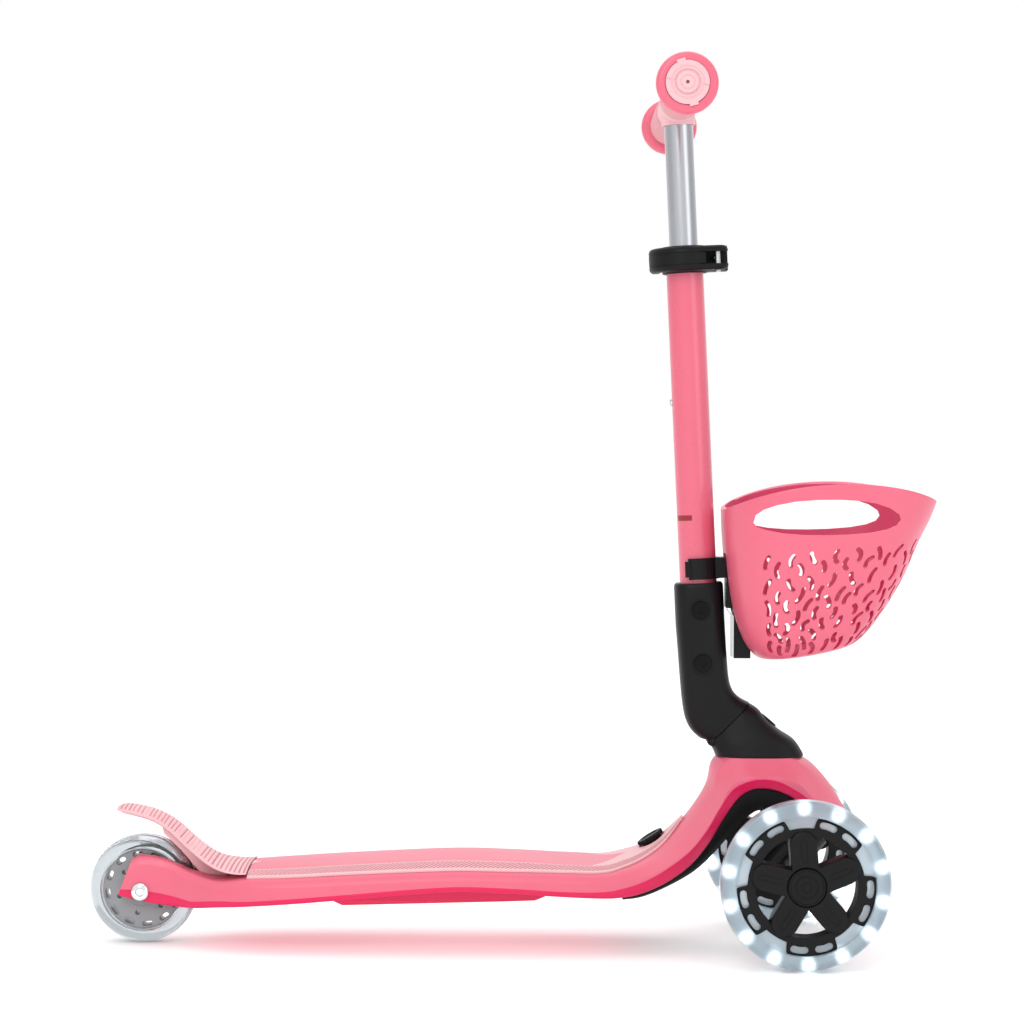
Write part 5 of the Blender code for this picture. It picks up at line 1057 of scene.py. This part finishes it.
def make_brake():
    """Ribbed fender: the ribs are scored across it and stop short of its edges."""
    rows = between(BRAKE_STATIONS, 22)
    rings, marks = [], []
    travelled = 0.0
    shares = [math.sin(math.radians(-90 + 180 * k / 28)) for k in range(29)]
    for index, (x, z, half, thick, drop) in enumerate(rows):
        before, after = rows[max(index - 1, 0)], rows[min(index + 1, len(rows) - 1)]
        travelled += math.hypot(x - before[0], z - before[1])
        up = Vector((before[1] - after[1], 0, after[0] - before[0])).normalized()
        scored = travelled / TREAD_PITCH % 1 < 0.40 and 3 < travelled < 121
        top, low, mark = [], [], []
        for s in shares:
            deep = scored and abs(s) < 0.93
            point = Vector((x, half * s, z)) - up * (drop * s * s + (0.5 if deep else 0))
            top.append(point * MM)
            low.append((Vector((x, half * s, z)) - up * drop * s * s
                        - up * thick * max(0.25, 1 - 0.75 * s ** 8)) * MM)
            mark.append(deep)
        rings.append(top + low[::-1])
        marks.append(mark)
    mesh = loft("fender", rings)
    count = len(rings[0])
    for face in mesh.polygons:
        if len(face.vertices) != 4:
            continue
        spots = [divmod(v, count) for v in face.vertices]
        # Faces in the scored ribs take the painted groove shade.
        if all(k < 29 and marks[i][k] for i, k in spots):
            face.material_index = 1
    fender = new_object("brake_pedal", mesh, (BLUSH, BLUSH_GROOVE_SHADE))
    pivot = Vector((-213, 0, 46.5))
    skirt = [(-257, 92), (-255, 82), (-248.5, 75.6), (-242.5, 70), (-237.8, 64.8), (-234, 60),
             (-227, 52), (-218.5, 46), (-215, 58), (-229, 71), (-244, 84)]
    lug = [(pivot.x + x, pivot.z + z) for x, z in
           arc(5.2, 190, 360, 16) + [(5.0, 5.0), (1.0, 12.5), (-12.0, 14.0)]]
    for outline in (skirt, lug):
        join(fender, plate("skirt", [outline], 25.6, 0.5, at(0, 0, 0)))
    across = Vector((0, 40, 0))
    cut(fender, rod(2.1, pivot - across, pivot + across, 32))
    piece("brake_pedal", fender, "brake", (BLUSH, BLUSH_GROOVE_SHADE),
          ("brake_fender",), 32)


# ---------------------------------------------------------------- basket
BASKET_LEVELS = [  # rear x and z, front x and z, half-width
    (193.0, 213.5, 234.0, 220.0, 37.0), (182.0, 214.5, 252.0, 225.5, 45.0),
    (172.5, 224.5, 265.0, 237.5, 51.0), (165.5, 241.5, 278.0, 256.5, 58.0),
    (161.0, 262.5, 289.0, 276.5, 64.0), (158.2, 286.5, 299.0, 300.5, 69.0),
    (156.5, 307.5, 307.0, 316.5, 72.0), (156.0, 322.5, 312.0, 328.5, 73.0),
]


def basket_point(level, x, y, inset=0.0, lift=0.0):
    """A point on one level of the basket; x and y run from -1 to 1 across it."""
    rx, rz, fx, fz, half = level
    middle = Vector(((rx + fx) / 2, 0, (rz + fz) / 2))
    along = Vector(((fx - rx) / 2, 0, (fz - rz) / 2))
    reach = along.length
    across = Vector((0, y * (half - inset), lift))
    return (middle + along * (x * (reach - inset) / reach) + across) * MM


def basket_shell(name, inset, extra):
    """The outer form of the basket, or the hollow in it when an inset is given."""
    rows = between(BASKET_LEVELS, 7)
    last = len(rows) - 1
    rings = []
    for index, level in enumerate(rows):
        t = index / last
        lift = 17.0 * max(0, (t - 0.78) / 0.22) ** 1.4
        floor = inset * max(0, 1 - index / 10)
        ring = []
        for x, y in superellipse(120, SQUARE):
            arch = lift * (1 - x * x) ** 0.8
            rise = floor + arch + (extra if index == last else 0)
            ring.append(basket_point(level, x, y, inset, rise))
        rings.append(ring)
    return loft(name, rings)


def kidney_cutters(seed):
    """Curved slots, each square to the wall where it sits, none touching another."""
    draw = random.Random(seed)
    rows = between(BASKET_LEVELS, 7)
    unit = superellipse(240, SQUARE)
    taken, bm = [], bmesh.new()
    for line in range(10):
        index = round(10 + 2.7 * line)
        ring = [basket_point(rows[index], x, y) for x, y in unit]
        around = sum((b - a).length for a, b in zip(ring, ring[1:]))
        length, column = 0.0, line % 2
        for i, here in enumerate(ring):
            there = ring[(i + 1) % len(ring)]
            length += (there - here).length
            if length < around * column / 56:
                continue
            column += 2
            if unit[i][0] < -0.70:
                continue
            out = (there - here).normalized()
            rise = (basket_point(rows[index + 2], *unit[i]) - here).normalized()
            normal = out.cross(rise).normalized()
            for _ in range(24):
                tilt = 90 + draw.uniform(-30, 30)
                long = draw.uniform(10.0, 13.4)
                bend = draw.choice((-1, 1)) * draw.uniform(0.6, 1.7)
                centre = here + (out * draw.uniform(-1, 1) + rise * draw.uniform(-1.2, 1.2)) * MM
                lie = Vector((math.cos(math.radians(tilt)), math.sin(math.radians(tilt))))
                spine = [centre + ((out * lie.x + rise * lie.y) * (long / 2 - 1.7) * k
                                   + (rise * lie.x - out * lie.y) * bend * (1 - k * k)) * MM
                         for k in (-1, -0.5, 0, 0.5, 1)]
                if all((a - b).length > 4.5 * MM for a in spine for b in taken):
                    break
            else:
                continue
            taken += spine
            outline = turned_about(capsule(long, 3.3, bend), tilt)
            first, second = ([bm.verts.new(centre + (out * u + rise * v + normal * depth) * MM)
                              for u, v in outline] for depth in (5, -5))
            count = len(first)
            for k in range(count):
                j = (k + 1) % count
                bm.faces.new((first[k], first[j], second[j], second[k]))
            bm.faces.new(first[::-1])
            bm.faces.new(second)
    return mesh_from(bm, "kidneys")


HANDLE_SLOT = [(175, 314.5), (176.5, 320), (182, 324), (191, 327.3), (204, 330), (220, 331.3),
               (236, 331.5), (250, 330.7), (262, 328.8), (272, 325.4), (278.5, 321), (280, 317),
               (277, 313.2), (270, 310.3), (258, 308), (242, 306.6), (226, 306.1), (210, 306.2),
               (196, 307.2), (184, 309.4), (177.5, 311.6)]


def make_basket():
    """Shell with a hook pocket behind, two handle openings and rows of curved slots."""
    basket = new_object("carry_basket", basket_shell("shell", 0, 0), (CORAL, CORAL_INNER_SHADE))
    # The hollow's faces take the second material, the painted shade of the inside.
    cut(basket, second_tone(basket_shell("inside", 3.0, 30)))
    wall = block((175, -18.2, 222), (183, 18.2, 293.5))
    room = block((136, -15.2, 200), (180, 15.2, 290.5))
    join(basket, wall)
    cut(basket, room)
    slot = plate("slot", [HANDLE_SLOT], 180, 0.02, at(0, 0, 0))
    # The walls of the curved slots take the painted shade as well.
    cut(basket, slot, second_tone(kidney_cutters(11)))
    round_edges(basket, 0.45, 2, 50)
    piece("carry_basket", basket, "basket", (CORAL, CORAL_INNER_SHADE), ("basket",), 40)


# ---------------------------------------------------------------- carried-over nodes
KEPT = (
    (BLACK, ("basket_bracket", "truck_beam", "guide_bush")),
    (BLACK_GLOSS, ("sleeve_bolt_lower", "sleeve_bolt_upper", "sleeve_nut_lower",
                   "sleeve_nut_upper")),
    # The underside panel in painted shade, like the deck's lower faces.
    (CORAL_PAINTED_SHADE, ("underside_panel",)),
    (STEEL, ("deck_reinforcement", "panel_screw_rear", "panel_screw_front", "rear_axle_nut",
             "rear_spacer", "brake_pin", "kingpin", "rear_bearing_left", "rear_bearing_right",
             "front_axle_left", "front_axle_right", "magnet_sleeve_left", "magnet_sleeve_right",
             "front_bearing_left_inner", "front_bearing_left_outer", "front_bearing_right_inner",
             "front_bearing_right_outer", "clamp_bolt", "clamp_pin", "bracket_plate",
             "spring_button")),
    (RUBBER, ("truck_bush",)),
    (BLACK_STEEL, ("fold_pin",)),
)


def dress_kept_nodes():
    """Materials and soft edges for the nodes that show as they are."""
    for material, names in KEPT:
        for name in names:
            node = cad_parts[name]
            node.data.materials.clear()
            node.data.materials.append(material)
            for face in node.data.polygons:
                face.material_index = 0
            soften(node, 0.3, 2, 50)


# ---------------------------------------------------------------- studio
def area_light(name, place, target, size, power, colour="#FFFFFF"):
    """A rectangular lamp aimed at a target."""
    data = bpy.data.lights.new(name, "AREA")
    data.shape = "RECTANGLE"
    data.size, data.size_y = size
    data.energy = power
    data.color = linear(colour)[:3]
    item = bpy.data.objects.new(name, data)
    item.location = place
    item.rotation_euler = (Vector(target) - Vector(place)).to_track_quat("-Z", "Y").to_euler()
    bpy.context.scene.collection.objects.link(item)


def make_studio():
    """White floor and surround, brighter at the sides and overhead, with four lamps."""
    bm = bmesh.new()
    bmesh.ops.create_grid(bm, x_segments=1, y_segments=1, size=20)
    floor = new_object("studio_floor", mesh_from(bm, "floor"))
    floor.location.z = -0.0005
    floor.data.materials.append(finish("matt_white_floor", Roughness=0.9, Base_Color="#FAFAFA",
                                       Emission_Color="#FFFFFF", Emission_Strength=0.16)[0])
    world = bpy.data.worlds.new("studio")
    bpy.context.scene.world = world
    world.use_nodes = True
    background = world.node_tree.nodes["Background"]
    background.inputs["Color"].default_value = linear("#FFFFFF")
    tree = world.node_tree
    way = add_node(tree, "ShaderNodeTexCoord")
    parts = add_node(tree, "ShaderNodeSeparateXYZ", None, {0: way.outputs["Generated"]})
    facing = add_node(tree, "ShaderNodeMath", {"operation": "ABSOLUTE"}, {0: parts.outputs["Y"]})
    above = add_node(tree, "ShaderNodeMath", {"operation": "MAXIMUM", 1: 0.0},
                     {0: parts.outputs["Z"]})
    both = add_node(tree, "ShaderNodeMath", {"operation": "ADD"},
                    {0: facing.outputs[0], 1: above.outputs[0]})
    level = add_node(tree, "ShaderNodeMapRange",
                     {"From Min": 0.30, "From Max": 0.80, "To Min": 0.68, "To Max": 1.0},
                     {"Value": both.outputs[0]})
    tree.links.new(level.outputs["Result"], background.inputs["Strength"])
    area_light("key", (-0.5, -2.0, 1.5), (0.0, 0, 0.25), (0.8, 0.9), 14)
    area_light("fill", (1.6, -1.4, 0.9), (0.1, 0, 0.25), (1.0, 1.2), 4)
    area_light("top", (0.0, 0.3, 2.4), (0, 0, 0.1), (2.2, 2.0), 14)
    area_light("back", (0.4, 1.9, 1.2), (0, 0, 0.25), (1.8, 1.2), 4)
    bpy.context.scene.view_settings.view_transform = "Standard"


def make_camera():
    """A long lens beside the scooter, level with its basket and a little ahead of its middle."""
    yaw, pitch, roll = (math.radians(a) for a in (-1.147, 1.3072, 0.2174))
    level = Matrix(((1, 0, 0), (0, 0, -1), (0, 1, 0)))
    turn = (level @ Matrix.Rotation(roll, 3, "Y") @ Matrix.Rotation(pitch, 3, "X")
            @ Matrix.Rotation(yaw, 3, "Z"))
    right, down, ahead = turn[0], turn[1], turn[2]
    data = bpy.data.cameras.new("camera")
    data.lens = 98.38
    data.sensor_width = 36
    data.shift_x, data.shift_y = 0.02926, -0.00493
    data.clip_start, data.clip_end = 0.05, 50
    item = bpy.data.objects.new("camera", data)
    basis = Matrix((right, -down, -ahead)).transposed().to_4x4()
    item.matrix_world = Matrix.Translation((0.0205, -2.0685, 0.3709)) @ basis
    bpy.context.scene.collection.objects.link(item)
    bpy.context.scene.camera = item


make_deck()
make_pad()
make_lock_button()
make_undercover()
make_column_base()
make_sleeve()
make_column()
make_clamp()
make_handlebar()
for wheel_side, wheel_name in ((1, "left"), (-1, "right")):
    make_front_wheel(wheel_side, wheel_name)
make_rear_wheel()
make_axle_bolt()
make_brake()
make_basket()
dress_kept_nodes()
make_studio()
make_camera()
